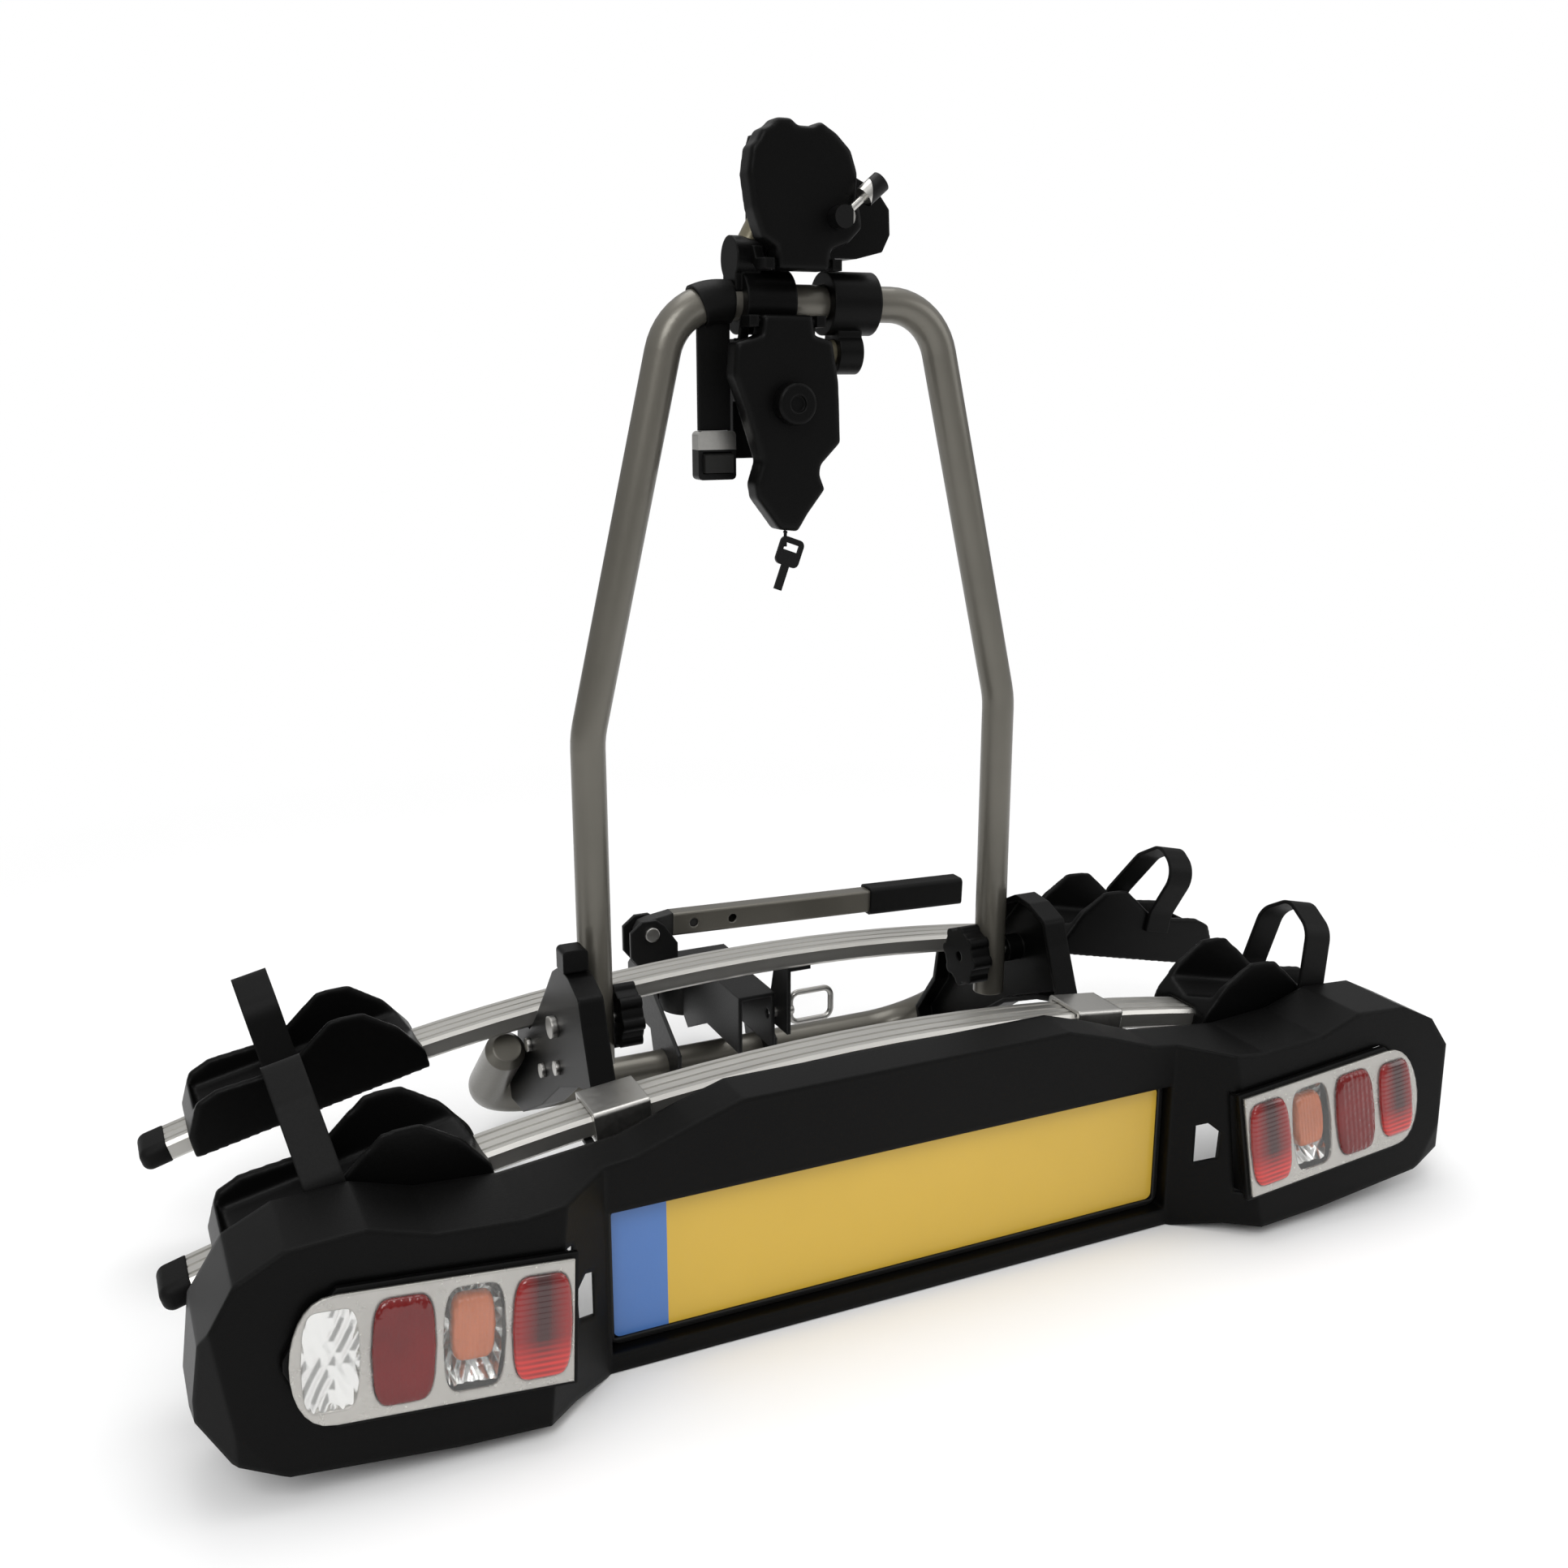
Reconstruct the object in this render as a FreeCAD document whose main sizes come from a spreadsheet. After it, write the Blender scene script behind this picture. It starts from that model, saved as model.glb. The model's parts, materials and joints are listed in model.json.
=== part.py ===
import FreeCAD, Part
import math
import os
import re
import Sketcher
from FreeCAD import Placement, Rotation, Vector

os.makedirs("parts", exist_ok=True)
doc = FreeCAD.newDocument("TowBallBikeRack")
sheet = doc.addObject("Spreadsheet::Sheet", "Sizes")

# Origin: centre of the tow ball. X to the right seen from behind, +Y to the car, +Z up.
SIZES = [
    ("ball_dia", 50, "tow ball"),
    ("ball_gap", 0.3, "cup to ball"),
    ("cup_wall", 8, "cast cup round the ball"),
    ("cup_skirt", 15, "straight skirt of the cup under the ball centre"),
    ("jaw_width", 24, "clamping jaw behind the ball"),
    ("jaw_deep", 9, "jaw along Y"),
    ("jaw_tall", 10, "jaw height"),
    ("jaw_gap", 0.4, "jaw to its window"),
    ("fit_gap", 0.3, "gap between pieces that bear on each other"),
    ("run_gap", 0.4, "running gap round a pivot"),
    ("steel", 4, "plate of the coupling housing"),
    ("head_half", 57, "half width of the coupling head"),
    ("head_front", 45, "front of the head"),
    ("head_rear", -38, "end of the head's top plate"),
    ("head_top", 37, "top of the head"),
    ("head_low", -22, "lower edge of the head's sides"),
    ("tail_half", 20, "half width of the tail arm"),
    ("tail_top", 66, "top of the tail arm"),
    ("tail_low", 6, "underside of the tail arm"),
    ("tail_end", -190, "rear end of the tail arm"),
    ("tube_dia", 38, "base tube"),
    ("tube_wall", 2.5, "base tube wall"),
    ("tube_bend", 72, "base tube bend radius"),
    ("tube_gap", 0.5, "base tube arm to the hinge bracket"),
    ("cross_y", -70, "cross run of the base tube, the tilt axis"),
    ("cross_z", -51, "cross run height"),
    ("arm_end_y", -196, "rear end of the base tube arms"),
    ("arm_end_z", 57, "height of the arm ends"),
    ("pivot_x", -51, "coupling lever pivot"),
    ("pivot_z", 84, "coupling lever pivot height"),
    ("pivot_dia", 10, "coupling lever pin"),
    ("lever_y", -10, "coupling lever middle plane"),
    ("lever_wide", 20, "lever tube across"),
    ("lever_tall", 26, "lever tube height"),
    ("lever_wall", 2, "lever tube wall"),
    ("lever_long", 356, "lever tube length"),
    ("lever_start", 27, "lever tube end from the pivot"),
    ("lever_rise", 6, "lever tube middle above the pivot"),
    ("lever_droop", 1.9, "slope of the lever in degrees"),
    ("grip_long", 122, "rubber grip"),
    ("grip_wall", 3, "rubber grip wall"),
    ("cheek", 4, "cheek of the lever bracket"),
    ("bow_y", -300, "plane of the bow"),
    ("bow_dia", 30, "bow tube"),
    ("bow_wall", 2, "bow tube wall"),
    ("bow_half", 203.3, "bow leg from the middle plane"),
    ("bow_foot_z", 78, "lower end of the legs"),
    ("knee_z", 375, "knee of the legs"),
    ("knee_bend", 90, "knee bend radius"),
    ("top_half", 120, "corner of the bow from the middle plane"),
    ("top_z", 729, "bow top bar"),
    ("top_bend", 52, "bow corner bend radius"),
    ("fold_z", 119, "bow fold axis height"),
    ("fold_bolt", 10, "bow fold bolt"),
    ("bracket_gap", 0.7, "leg to bracket"),
    ("bracket_wide", 22, "moulded hinge bracket"),
    ("bracket_wall", 5, "hinge bracket skin"),
    ("knob_dia", 60, "fold knob over its lobes"),
    ("knob_wide", 20, "fold knob"),
    ("knob_lobes", 8, "lobes of the fold knob"),
    ("rail_wide", 40, "rail extrusion width"),
    ("rail_tall", 18, "rail extrusion height"),
    ("rail_wall", 2.5, "rail extrusion wall"),
    ("rail_groove", 1.6, "lengthwise groove depth"),
    ("rail_arc", 1990, "arch radius of the rail middle line"),
    ("rail_z", 107, "rail middle line at the top of the arch"),
    ("rail_half", 560, "rail end from the middle plane"),
    ("rear_y", -424, "rear rail"),
    ("front_y", -193, "front rail"),
    ("cap_long", 24, "rubber cap beyond the rail end"),
    ("cap_lip", 1.5, "cap proud of the rail"),
    ("plug_long", 26, "cap plug inside the rail"),
    ("clamp_long", 48, "rail clamp along X"),
    ("clamp_wall", 4, "rail clamp wall"),
    ("clamp_top", 4, "rail clamp above the rail"),
    ("board_front", -470, "open front edge of the light board"),
    ("board_face", -512, "rear face of the middle panel"),
    ("board_bracket_off", 2, "brackets of the light board beside the rail clamps"),
    ("board_bracket_wide", 7, "brackets of the light board"),
    ("board_wall", 3, "light board wall"),
    ("pod_low_y", -569, "lamp pod face at the lower edge"),
    ("pod_high_y", -543, "lamp pod face at the upper edge"),
    ("plate_long", 520, "number plate"),
    ("plate_tall", 111, "number plate height"),
    ("plate_thick", 3, "number plate thickness"),
    ("plate_z", -9, "number plate middle"),
    ("plate_y", -495, "back of the number plate"),
    ("plate_corner", 6, "number plate corner radius"),
    ("frame_lip", 5, "plate surround"),
    ("lamp_long", 200, "lamp length"),
    ("lamp_tall", 92, "lamp height"),
    ("lamp_x", 411, "lamp middle from the middle plane"),
    ("lamp_y", -555.7, "lamp seat"),
    ("lamp_z", 13, "lamp middle height"),
    ("lamp_roll", 4.8, "lamp rises outwards, degrees"),
    ("lamp_lean", 7.4, "lamp leans to the front at the top, degrees"),
    ("lamp_deep", 26, "lamp housing depth inside the pod"),
    ("lamp_wall", 2, "lamp housing wall"),
    ("lens_thick", 2.5, "lens cover"),
    ("lamp_flange", 3.6, "lamp flange round the pod opening"),
    ("cell_rise", 5, "barrel cells proud of the lens"),
    ("bulb_dia", 16, "lamp bulbs"),
    ("tray_long", 208, "wheel tray length"),
    ("tray_wide", 76, "wheel tray width"),
    ("tray_fin", 66, "tall end of the tray above the rail middle"),
    ("tray_dome", 42, "outer end of the tray above the rail middle"),
    ("tray_low", 11, "tray skirt under the rail middle"),
    ("tyre_wide", 58, "tyre channel of the tray"),
    ("tray_turn", 12.8, "tray place along the arch, degrees"),
    ("strap_wide", 30, "wheel strap"),
    ("strap_thick", 3.5, "wheel strap thickness"),
    ("strap_top", 112, "top of the strap above the rail middle"),
    ("collar_wall", 11, "collar round the top bar"),
    ("collar_long", 44, "collar along the top bar"),
    ("knuckle", 22, "knuckle of each collar along the bar"),
    ("arm_long", 70, "length of the lower arm tube"),
    ("upper_arm_long", 40, "length of the upper arm tube"),
    ("upper_collar_x", -42, "middle of the upper arm's collar"),
    ("lower_collar_x", 37, "middle of the lower arm's collar"),
    ("arm_tube", 22, "short tube of each frame arm"),
    ("arm_tube_wall", 2, "wall of the arm tubes"),
    ("jaw_face_y", -349, "outer face of the frame jaws"),
    ("jaw_thick", 22, "frame jaw thickness"),
    ("jaw_open", 40, "space between the frame jaws"),
    ("jaw_back", 13, "fixed frame jaw thickness"),
    ("jaw_pin", 6, "frame jaw hinge pin"),
    ("upper_x", -24, "middle of the upper clamp"),
    ("upper_z", 820, "middle height of the upper clamp"),
    ("lower_x", -38, "middle of the lower clamp"),
    ("lower_z", 664, "middle height of the lower clamp"),
    ("webbing", 28, "width of the bow strap"),
    ("webbing_thick", 2.4, "thickness of the bow strap"),
    ("webbing_x", -85, "middle of the bow strap"),
    ("webbing_low", 626, "lower end of the bow strap"),
    ("buckle_wide", 34, "cam buckle width"),
    ("buckle_tall", 40, "cam buckle height"),
]
for row, (alias, number, note) in enumerate(SIZES, 1):
    sheet.set(f"A{row}", str(number))
    sheet.setAlias(f"A{row}", alias)
    sheet.set(f"B{row}", note)
doc.recompute()
NAMES = {alias for alias, number, note in SIZES}


def cell(text):
    """An expression written with bare size names, with each name turned into a cell of the sheet."""
    return re.sub(r"[a-z]\w*", lambda m: f"Sizes.{m[0]}" if m[0] in NAMES else m[0], str(text))


def val(text):
    return float(sheet.evalExpression(cell(text)))


pieces = []


def keep(item, label):
    """Give a sub-part its name and put it on the list that is written out."""
    item.Label = label
    pieces.append(item)
    return item


def new_body(label):
    return keep(doc.addObject("PartDesign::Body", label), label)


def sketch_on(body, plane, start, lift="0"):
    """A sketch on one of the body's own planes, moved along its normal and up its own vertical."""
    sketch = body.newObject("Sketcher::SketchObject", body.Name + "_sketch")
    origin = next(f for f in body.Origin.OriginFeatures if f.Role == plane + "_Plane")
    sketch.AttachmentSupport = (origin, "")
    sketch.MapMode = "FlatFace"
    sketch.setExpression("AttachmentOffset.Base.z", cell(start))
    sketch.setExpression("AttachmentOffset.Base.y", cell(lift))
    return sketch


def pin_point(sketch, shape, end, u, w):
    """Hold one end of a sketch element at a place given by two expressions."""
    for kind, text, axis in (("DistanceX", u, -2), ("DistanceY", w, -1)):
        number = val(text)
        if abs(number) < 1e-7:
            sketch.addConstraint(Sketcher.Constraint("PointOnObject", shape, end, axis))
        else:
            index = sketch.addConstraint(Sketcher.Constraint(kind, -1, 1, shape, end, number))
            sketch.setExpression(f"Constraints[{index}]", cell(text))


def polygon(sketch, corners):
    points = [Vector(val(u), val(w), 0) for u, w in corners]
    first = sketch.GeometryCount
    count = len(points)
    for index in range(count):
        sketch.addGeometry(Part.LineSegment(points[index], points[(index + 1) % count]), False)
    for index in range(count):
        after = first + (index + 1) % count
        sketch.addConstraint(Sketcher.Constraint("Coincident", first + index, 2, after, 1))
    for index, (u, w) in enumerate(corners):
        pin_point(sketch, first + index, 1, u, w)


def circle(sketch, u, w, radius):
    shape = sketch.addGeometry(Part.Circle(Vector(val(u), val(w), 0), Vector(0, 0, 1), val(radius)), False)
    pin_point(sketch, shape, 3, u, w)
    index = sketch.addConstraint(Sketcher.Constraint("Radius", shape, val(radius)))
    sketch.setExpression(f"Constraints[{index}]", cell(radius))


def extrude(body, sketch, depth, cut):
    """Pad or pocket along the sketch's own normal."""
    kind = "Pocket" if cut else "Pad"
    feature = body.newObject("PartDesign::" + kind, body.Name + "_" + kind.lower())
    feature.Profile = sketch
    feature.setExpression("Length", cell(depth))
    feature.Reversed = cut
    return feature


def slab(body, plane, corners, start, depth, cut=False):
    sketch = sketch_on(body, plane, start)
    polygon(sketch, corners)
    return extrude(body, sketch, depth, cut)


def disc(body, plane, centres, radius, start, depth, cut=False):
    sketch = sketch_on(body, plane, start)
    for u, w in centres:
        circle(sketch, u, w, radius)
    return extrude(body, sketch, depth, cut)


def box_corners(u_low, u_high, w_low, w_high):
    return [(u_low, w_low), (u_high, w_low), (u_high, w_high), (u_low, w_high)]


def mirrored(corners):
    """A left-right symmetric outline from its right half, listed from the bottom up."""
    return corners + [(f"-({u})", w) for u, w in reversed(corners)]


def runs_along(edge, direction):
    """Whether an edge is straight and lies along a direction."""
    if edge.Curve.TypeId != "Part::GeomLine":
        return False
    return abs(edge.tangentAt(edge.FirstParameter).dot(direction)) > 0.999


def round_off(body, radius, pick):
    """Fillet the edges of the body's last feature that pick chooses."""
    doc.recompute()
    base = body.Tip
    names = [f"Edge{i}" for i, edge in enumerate(base.Shape.Edges, 1) if pick(edge)]
    feature = body.newObject("PartDesign::Fillet", body.Name + "_fillet")
    feature.Base = (base, names)
    feature.setExpression("Radius", cell(radius))
    return feature


def hollow(body, wall, pick):
    """Shell the body inwards, open at the faces that pick chooses."""
    doc.recompute()
    base = body.Tip
    names = [f"Face{i}" for i, face in enumerate(base.Shape.Faces, 1) if pick(face)]
    feature = body.newObject("PartDesign::Thickness", body.Name + "_shell")
    feature.Base = (base, names)
    feature.setExpression("Value", cell(wall))
    feature.Reversed = True
    feature.Mode = "Skin"
    feature.Join = "Intersection"
    return feature


def place(item, at, rotation=None):
    item.Placement = Placement(Vector(*[val(text) for text in at]), rotation or Rotation())
    return item


def rod(name, radius, length, at, along):
    """A plain round bar that starts at a point and runs along a direction."""
    item = doc.addObject("Part::Cylinder", name)
    item.setExpression("Radius", cell(radius))
    item.setExpression("Height", cell(length))
    return place(item, at, Rotation(Vector(0, 0, 1), Vector(*along)))


def block(name, sizes, at):
    """A plain box from its low corner."""
    item = doc.addObject("Part::Box", name)
    for side, text in zip(("Length", "Width", "Height"), sizes):
        item.setExpression(side, cell(text))
    return place(item, at)


def ball(name, radius, at):
    item = doc.addObject("Part::Sphere", name)
    item.setExpression("Radius", cell(radius))
    return place(item, at)


def cut_away(name, base, tool):
    item = doc.addObject("Part::Cut", name)
    item.Base = base
    item.Tool = tool
    return item


def fuse(name, items):
    item = doc.addObject("Part::MultiFuse", name)
    item.Shapes = items
    item.Refine = True
    return item


def group(name, items):
    item = doc.addObject("Part::Compound", name)
    item.Links = items
    return item


def shaped(label, shape):
    """A sub-part whose form is made with the kernel's own functions."""
    item = doc.addObject("Part::Feature", label)
    item.Shape = shape
    return keep(item, label)


def rounded_path(points, radii):
    """A wire of straight runs with a tangent arc at each inner corner."""
    edges = []
    start = points[0]
    for index in range(1, len(points) - 1):
        corner = points[index]
        back = (points[index - 1] - corner).normalize()
        ahead = (points[index + 1] - corner).normalize()
        half = back.getAngle(ahead) / 2
        reach = radii[index - 1] / math.tan(half)
        middle = (back + ahead).normalize()
        centre = corner + middle * (radii[index - 1] / math.sin(half))
        near = corner + back * reach
        far = corner + ahead * reach
        if start.distanceToPoint(near) > 1e-6:
            edges.append(Part.LineSegment(start, near).toShape())
        edges.append(Part.Arc(near, centre - middle * radii[index - 1], far).toShape())
        start = far
    edges.append(Part.LineSegment(start, points[-1]).toShape())
    return Part.Wire(edges)


def swept(path, radius):
    """A round bar along a path."""
    edge = path.Edges[0]
    start = edge.valueAt(edge.FirstParameter)
    ring = Part.Circle(start, edge.tangentAt(edge.FirstParameter), radius).toShape()
    return path.makePipeShell([Part.Wire([ring])], True, True)


def bent_tube(points, radii, outer, inner):
    path = rounded_path(points, radii)
    return swept(path, outer).cut(swept(path, inner)) if inner else swept(path, outer)


def arch(degrees, y, outward):
    """Places a piece drawn at the top of the arch, outboard along +X, at an angle along a rail."""
    centre = Placement(Vector(0, val(y), val("rail_z - rail_arc")), Rotation(Vector(0, 1, 0), degrees * outward))
    turn = Rotation(Vector(0, 0, 1), 0 if outward > 0 else 180)
    return centre * Placement(Vector(0, 0, val("rail_arc")), turn)


ALONG_X = Vector(1, 0, 0)
ALONG_Y = Vector(0, 1, 0)
ALONG_Z = Vector(0, 0, 1)
SIDES = (("left", -1), ("right", 1))
RAILS = (("rear", "rear_y"), ("front", "front_y"))
CLAMP_X = "bow_half + bow_dia / 2 + bracket_gap + bracket_wide / 2"
TUBE_X = "bow_half + bow_dia / 2 + bracket_gap + bracket_wide + tube_gap + tube_dia / 2"


def make_coupling_housing():
    """Folded steel head over the ball, with ears round the base tube and a tail arm to the front rail."""
    body = new_body("coupling_housing")
    side = [
        ("head_front", "head_low"), ("head_front", "head_top - 11"), ("head_front - 12", "head_top"),
        ("head_rear", "head_top"), ("head_rear - 4", "head_top - 15"), ("cross_y - 45", "cross_z + 30"),
        ("cross_y - 42", "cross_z - 12"), ("cross_y - 22", "cross_z - 32"), ("cross_y + 20", "cross_z - 32"),
        ("cross_y + 40", "head_low"),
    ]
    inside = [
        ("head_front - steel", "head_low - 20"), ("head_front - steel", "head_top - 11 - steel / 2"),
        ("head_front - 12 - steel / 2", "head_top - steel"), ("head_rear - 20", "head_top - steel"),
        ("cross_y - 60", "cross_z + 30"), ("cross_y - 60", "cross_z - 60"), ("head_front - steel", "cross_z - 60"),
    ]
    slab(body, "YZ", side, "-head_half", "2 * head_half")
    slab(body, "YZ", inside, "steel - head_half", "2 * (head_half - steel)", cut=True)
    tail = [
        ("head_rear + 4", "head_top - steel - 1"), ("head_rear + 12", "head_top"), ("head_rear", "head_top"),
        ("cross_y - 38", "tail_top"), ("tail_end", "tail_top"), ("tail_end", "tail_low"),
        ("cross_y - 34", "tail_low"), ("cross_y + 22", "cross_z + 30"), ("head_rear + 2", "cross_z + 40"),
    ]
    trough = [
        ("head_rear + 5", "head_top - steel - 3"), ("head_rear - 2", "head_top - steel"),
        ("cross_y - 36", "tail_top - steel"), ("tail_end - 1", "tail_top - steel"), ("tail_end - 1", "tail_low - 1"),
        ("cross_y - 34", "tail_low - 1"), ("cross_y + 22", "cross_z + 28"), ("head_rear + 5", "cross_z + 38"),
    ]
    slab(body, "YZ", tail, "-tail_half", "2 * tail_half")
    slab(body, "YZ", trough, "steel - tail_half", "2 * (tail_half - steel)", cut=True)
    disc(body, "YZ", [("cross_y", "cross_z")], "tube_dia / 2 + run_gap / 4", "-head_half - 1", "2 * head_half + 2", cut=True)
    disc(body, "YZ", [("tail_end + 10", "tail_low + 34")], "5 + run_gap / 4", "0", "tail_half + 1", cut=True)
    round_off(body, "6", lambda edge: runs_along(edge, ALONG_Z) and edge.Vertexes[0].Y > val("head_front") - 1)


def make_ball_parts():
    """Cast cup that sits on the ball, and the jaw that grips the ball from behind."""
    wide = rod("cup_side", "ball_dia / 2 + cup_wall", "cup_skirt + head_top - steel - 3", ("0", "0", "-cup_skirt"), (0, 0, 1))
    narrow = rod("cup_top", "ball_dia / 2 + cup_wall - 3", "cup_skirt + head_top - steel", ("0", "0", "-cup_skirt"), (0, 0, 1))
    outer = fuse("cup_outside", [wide, narrow])
    hollow_ball = ball("cup_sphere", "ball_dia / 2 + ball_gap", ("0", "0", "0"))
    throat = rod("cup_throat", "ball_dia / 2 + ball_gap", "cup_skirt + 1", ("0", "0", "-cup_skirt - 1"), (0, 0, 1))
    window = block("cup_window", ("jaw_width + 2 * jaw_gap", "cup_wall + 14", "jaw_tall + 3"),
                   ("-jaw_width / 2 - jaw_gap", "-ball_dia / 2 - cup_wall - 4", "-cup_skirt - 1"))
    cup = cut_away("ball_cup", outer, fuse("cup_cavity", [hollow_ball, throat, window]))
    keep(cup, "ball_cup")
    jaw_bar = block("jaw_bar", ("jaw_width", "jaw_deep + 4", "jaw_tall"),
                    ("-jaw_width / 2", "-ball_dia / 2 - jaw_deep", "-cup_skirt"))
    hug = rod("jaw_hug", "ball_dia / 2 + 2 * ball_gap", "cup_skirt + 20", ("0", "0", "-cup_skirt - 10"), (0, 0, 1))
    keep(cut_away("ball_jaw", jaw_bar, hug), "ball_jaw")


def make_lever_bracket():
    """Two cheeks on the head that carry the lever pin."""
    body = new_body("lever_bracket")
    outer = [
        ("-head_half", "head_top"), ("-head_half + 36", "head_top"), ("-head_half + 36", "pivot_z - 14"),
        ("pivot_x + 15", "pivot_z + 8"), ("pivot_x + 6", "pivot_z + 15"), ("pivot_x - 10", "pivot_z + 15"),
        ("pivot_x - 24", "pivot_z + 4"), ("pivot_x - 24", "pivot_z - 24"),
    ]
    across = "lever_wide + 2 * run_gap + 2 * cheek"
    slab(body, "XZ", outer, f"-lever_y - ({across}) / 2", across)
    gap = box_corners("pivot_x - 30", "pivot_x + 60", "head_top + cheek", "pivot_z + 30")
    slab(body, "XZ", gap, "-lever_y - lever_wide / 2 - run_gap", "lever_wide + 2 * run_gap", cut=True)
    disc(body, "XZ", [("pivot_x", "pivot_z")], "pivot_dia / 2", f"-lever_y - ({across}) / 2 - 1", f"{across} + 2", cut=True)
    pin = rod("lever_pin_shank", "pivot_dia / 2", f"{across} + 3", ("pivot_x", f"lever_y + ({across}) / 2 + 1.5", "pivot_z"), (0, -1, 0))
    heads = []
    for name, start in (("lever_pin_head", f"lever_y - ({across}) / 2 - 4"), ("lever_pin_nut", f"lever_y + ({across}) / 2")):
        heads.append(rod(name, "pivot_dia / 2 + 3", "4", ("pivot_x", start, "pivot_z"), (0, 1, 0)))
    keep(fuse("lever_pin", [pin] + heads), "lever_pin")


def turn_lever(item):
    """Tip a lever piece about the pin, down to its rest slope."""
    pivot = Vector(val("pivot_x"), val("lever_y"), val("pivot_z"))
    item.Placement = Placement(pivot, Rotation(Vector(0, 1, 0), val("lever_droop")))


def make_lever():
    """Lever drawn from its pivot along +X: cast cam with an eye, square tube and rubber grip."""
    cam = new_body("lever_cam")
    low = "lever_rise - lever_tall / 2"
    plug = "lever_tall / 2 - lever_wall - fit_gap"
    eye = [
        ("-13", "-8"), ("-4", "-15"), ("8", "-14"), ("lever_start - fit_gap", f"{low}"),
        ("lever_start - fit_gap", f"lever_rise - ({plug})"), ("lever_start + 34", f"lever_rise - ({plug})"),
        ("lever_start + 34", f"lever_rise + {plug}"), ("lever_start - fit_gap", f"lever_rise + {plug}"),
        ("lever_start - fit_gap", "lever_rise + lever_tall / 2"), ("0", "14"), ("-9", "11"), ("-14", "2"),
    ]
    slab(cam, "XZ", eye, "lever_wall + fit_gap - lever_wide / 2", "lever_wide - 2 * lever_wall - 2 * fit_gap")
    disc(cam, "XZ", [("0", "0")], "pivot_dia / 2 + run_gap / 8", "-lever_wide", "2 * lever_wide", cut=True)
    turn_lever(cam)
    tube = new_body("lever_tube")
    section = box_corners("-lever_wide / 2", "lever_wide / 2", low, "lever_rise + lever_tall / 2")
    slab(tube, "YZ", section, "lever_start", "lever_long")
    round_off(tube, "3", lambda edge: runs_along(edge, ALONG_X))
    bore = box_corners("lever_wall - lever_wide / 2", "lever_wide / 2 - lever_wall",
                       f"{low} + lever_wall", "lever_rise + lever_tall / 2 - lever_wall")
    slab(tube, "YZ", bore, "lever_start - 1", "lever_long + 2", cut=True)
    disc(tube, "XZ", [("lever_start + 24", "lever_rise"), ("lever_start + 70", "lever_rise")], "5",
         "-lever_wide", "2 * lever_wide", cut=True)
    turn_lever(tube)
    grip = new_body("lever_grip")
    grip_end = "lever_start + lever_long + 8"
    shell = box_corners("-lever_wide / 2 - grip_wall", "lever_wide / 2 + grip_wall",
                        f"{low} - grip_wall", "lever_rise + lever_tall / 2 + grip_wall")
    slab(grip, "YZ", shell, f"{grip_end} - grip_long", "grip_long")
    round_off(grip, "5", lambda edge: runs_along(edge, ALONG_X))
    hole = box_corners("-lever_wide / 2 - fit_gap / 6", "lever_wide / 2 + fit_gap / 6",
                       f"{low} - fit_gap / 6", "lever_rise + lever_tall / 2 + fit_gap / 6")
    slab(grip, "YZ", hole, f"{grip_end} - grip_long - 1", "grip_long - 7", cut=True)
    turn_lever(grip)


def make_base_tube():
    """One bent tube: two arms under the front rail and the cross run that the rack tilts on."""
    half = val(TUBE_X)
    end = (val("arm_end_y"), val("arm_end_z"))
    cross = (val("cross_y"), val("cross_z"))
    points = [Vector(-half, *end), Vector(-half, *cross), Vector(half, *cross), Vector(half, *end)]
    bend = val("tube_bend")
    tube = bent_tube(points, [bend, bend], val("tube_dia / 2"), val("tube_dia / 2 - tube_wall"))
    wide = val("tube_dia / 2")
    along = (points[0] - points[1]).normalize()
    ends = [Part.makeCone(wide, 0.7 * wide, 0.5 * wide, point, along) for point in (points[0], points[-1])]
    shaped("base_tube", tube.fuse(ends))


def make_bow():
    """Inverted U of round tube with a knee in each leg."""
    half = val("bow_half")
    top = val("top_half")
    y = val("bow_y")
    points = [
        Vector(-half, y, val("bow_foot_z")), Vector(-half, y, val("knee_z")), Vector(-top, y, val("top_z")),
        Vector(top, y, val("top_z")), Vector(half, y, val("knee_z")), Vector(half, y, val("bow_foot_z")),
    ]
    knee = val("knee_bend")
    corner = val("top_bend")
    shape = bent_tube(points, [knee, corner, corner, knee], val("bow_dia / 2"), val("bow_dia / 2 - bow_wall"))
    for side in (-1, 1):
        start = Vector(side * half - val("bow_dia"), y, val("fold_z"))
        shape = shape.cut(Part.makeCylinder(val("fold_bolt / 2 + fit_gap / 6"), val("2 * bow_dia"), start, ALONG_X))
    shaped("bow_tube", shape)


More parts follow.
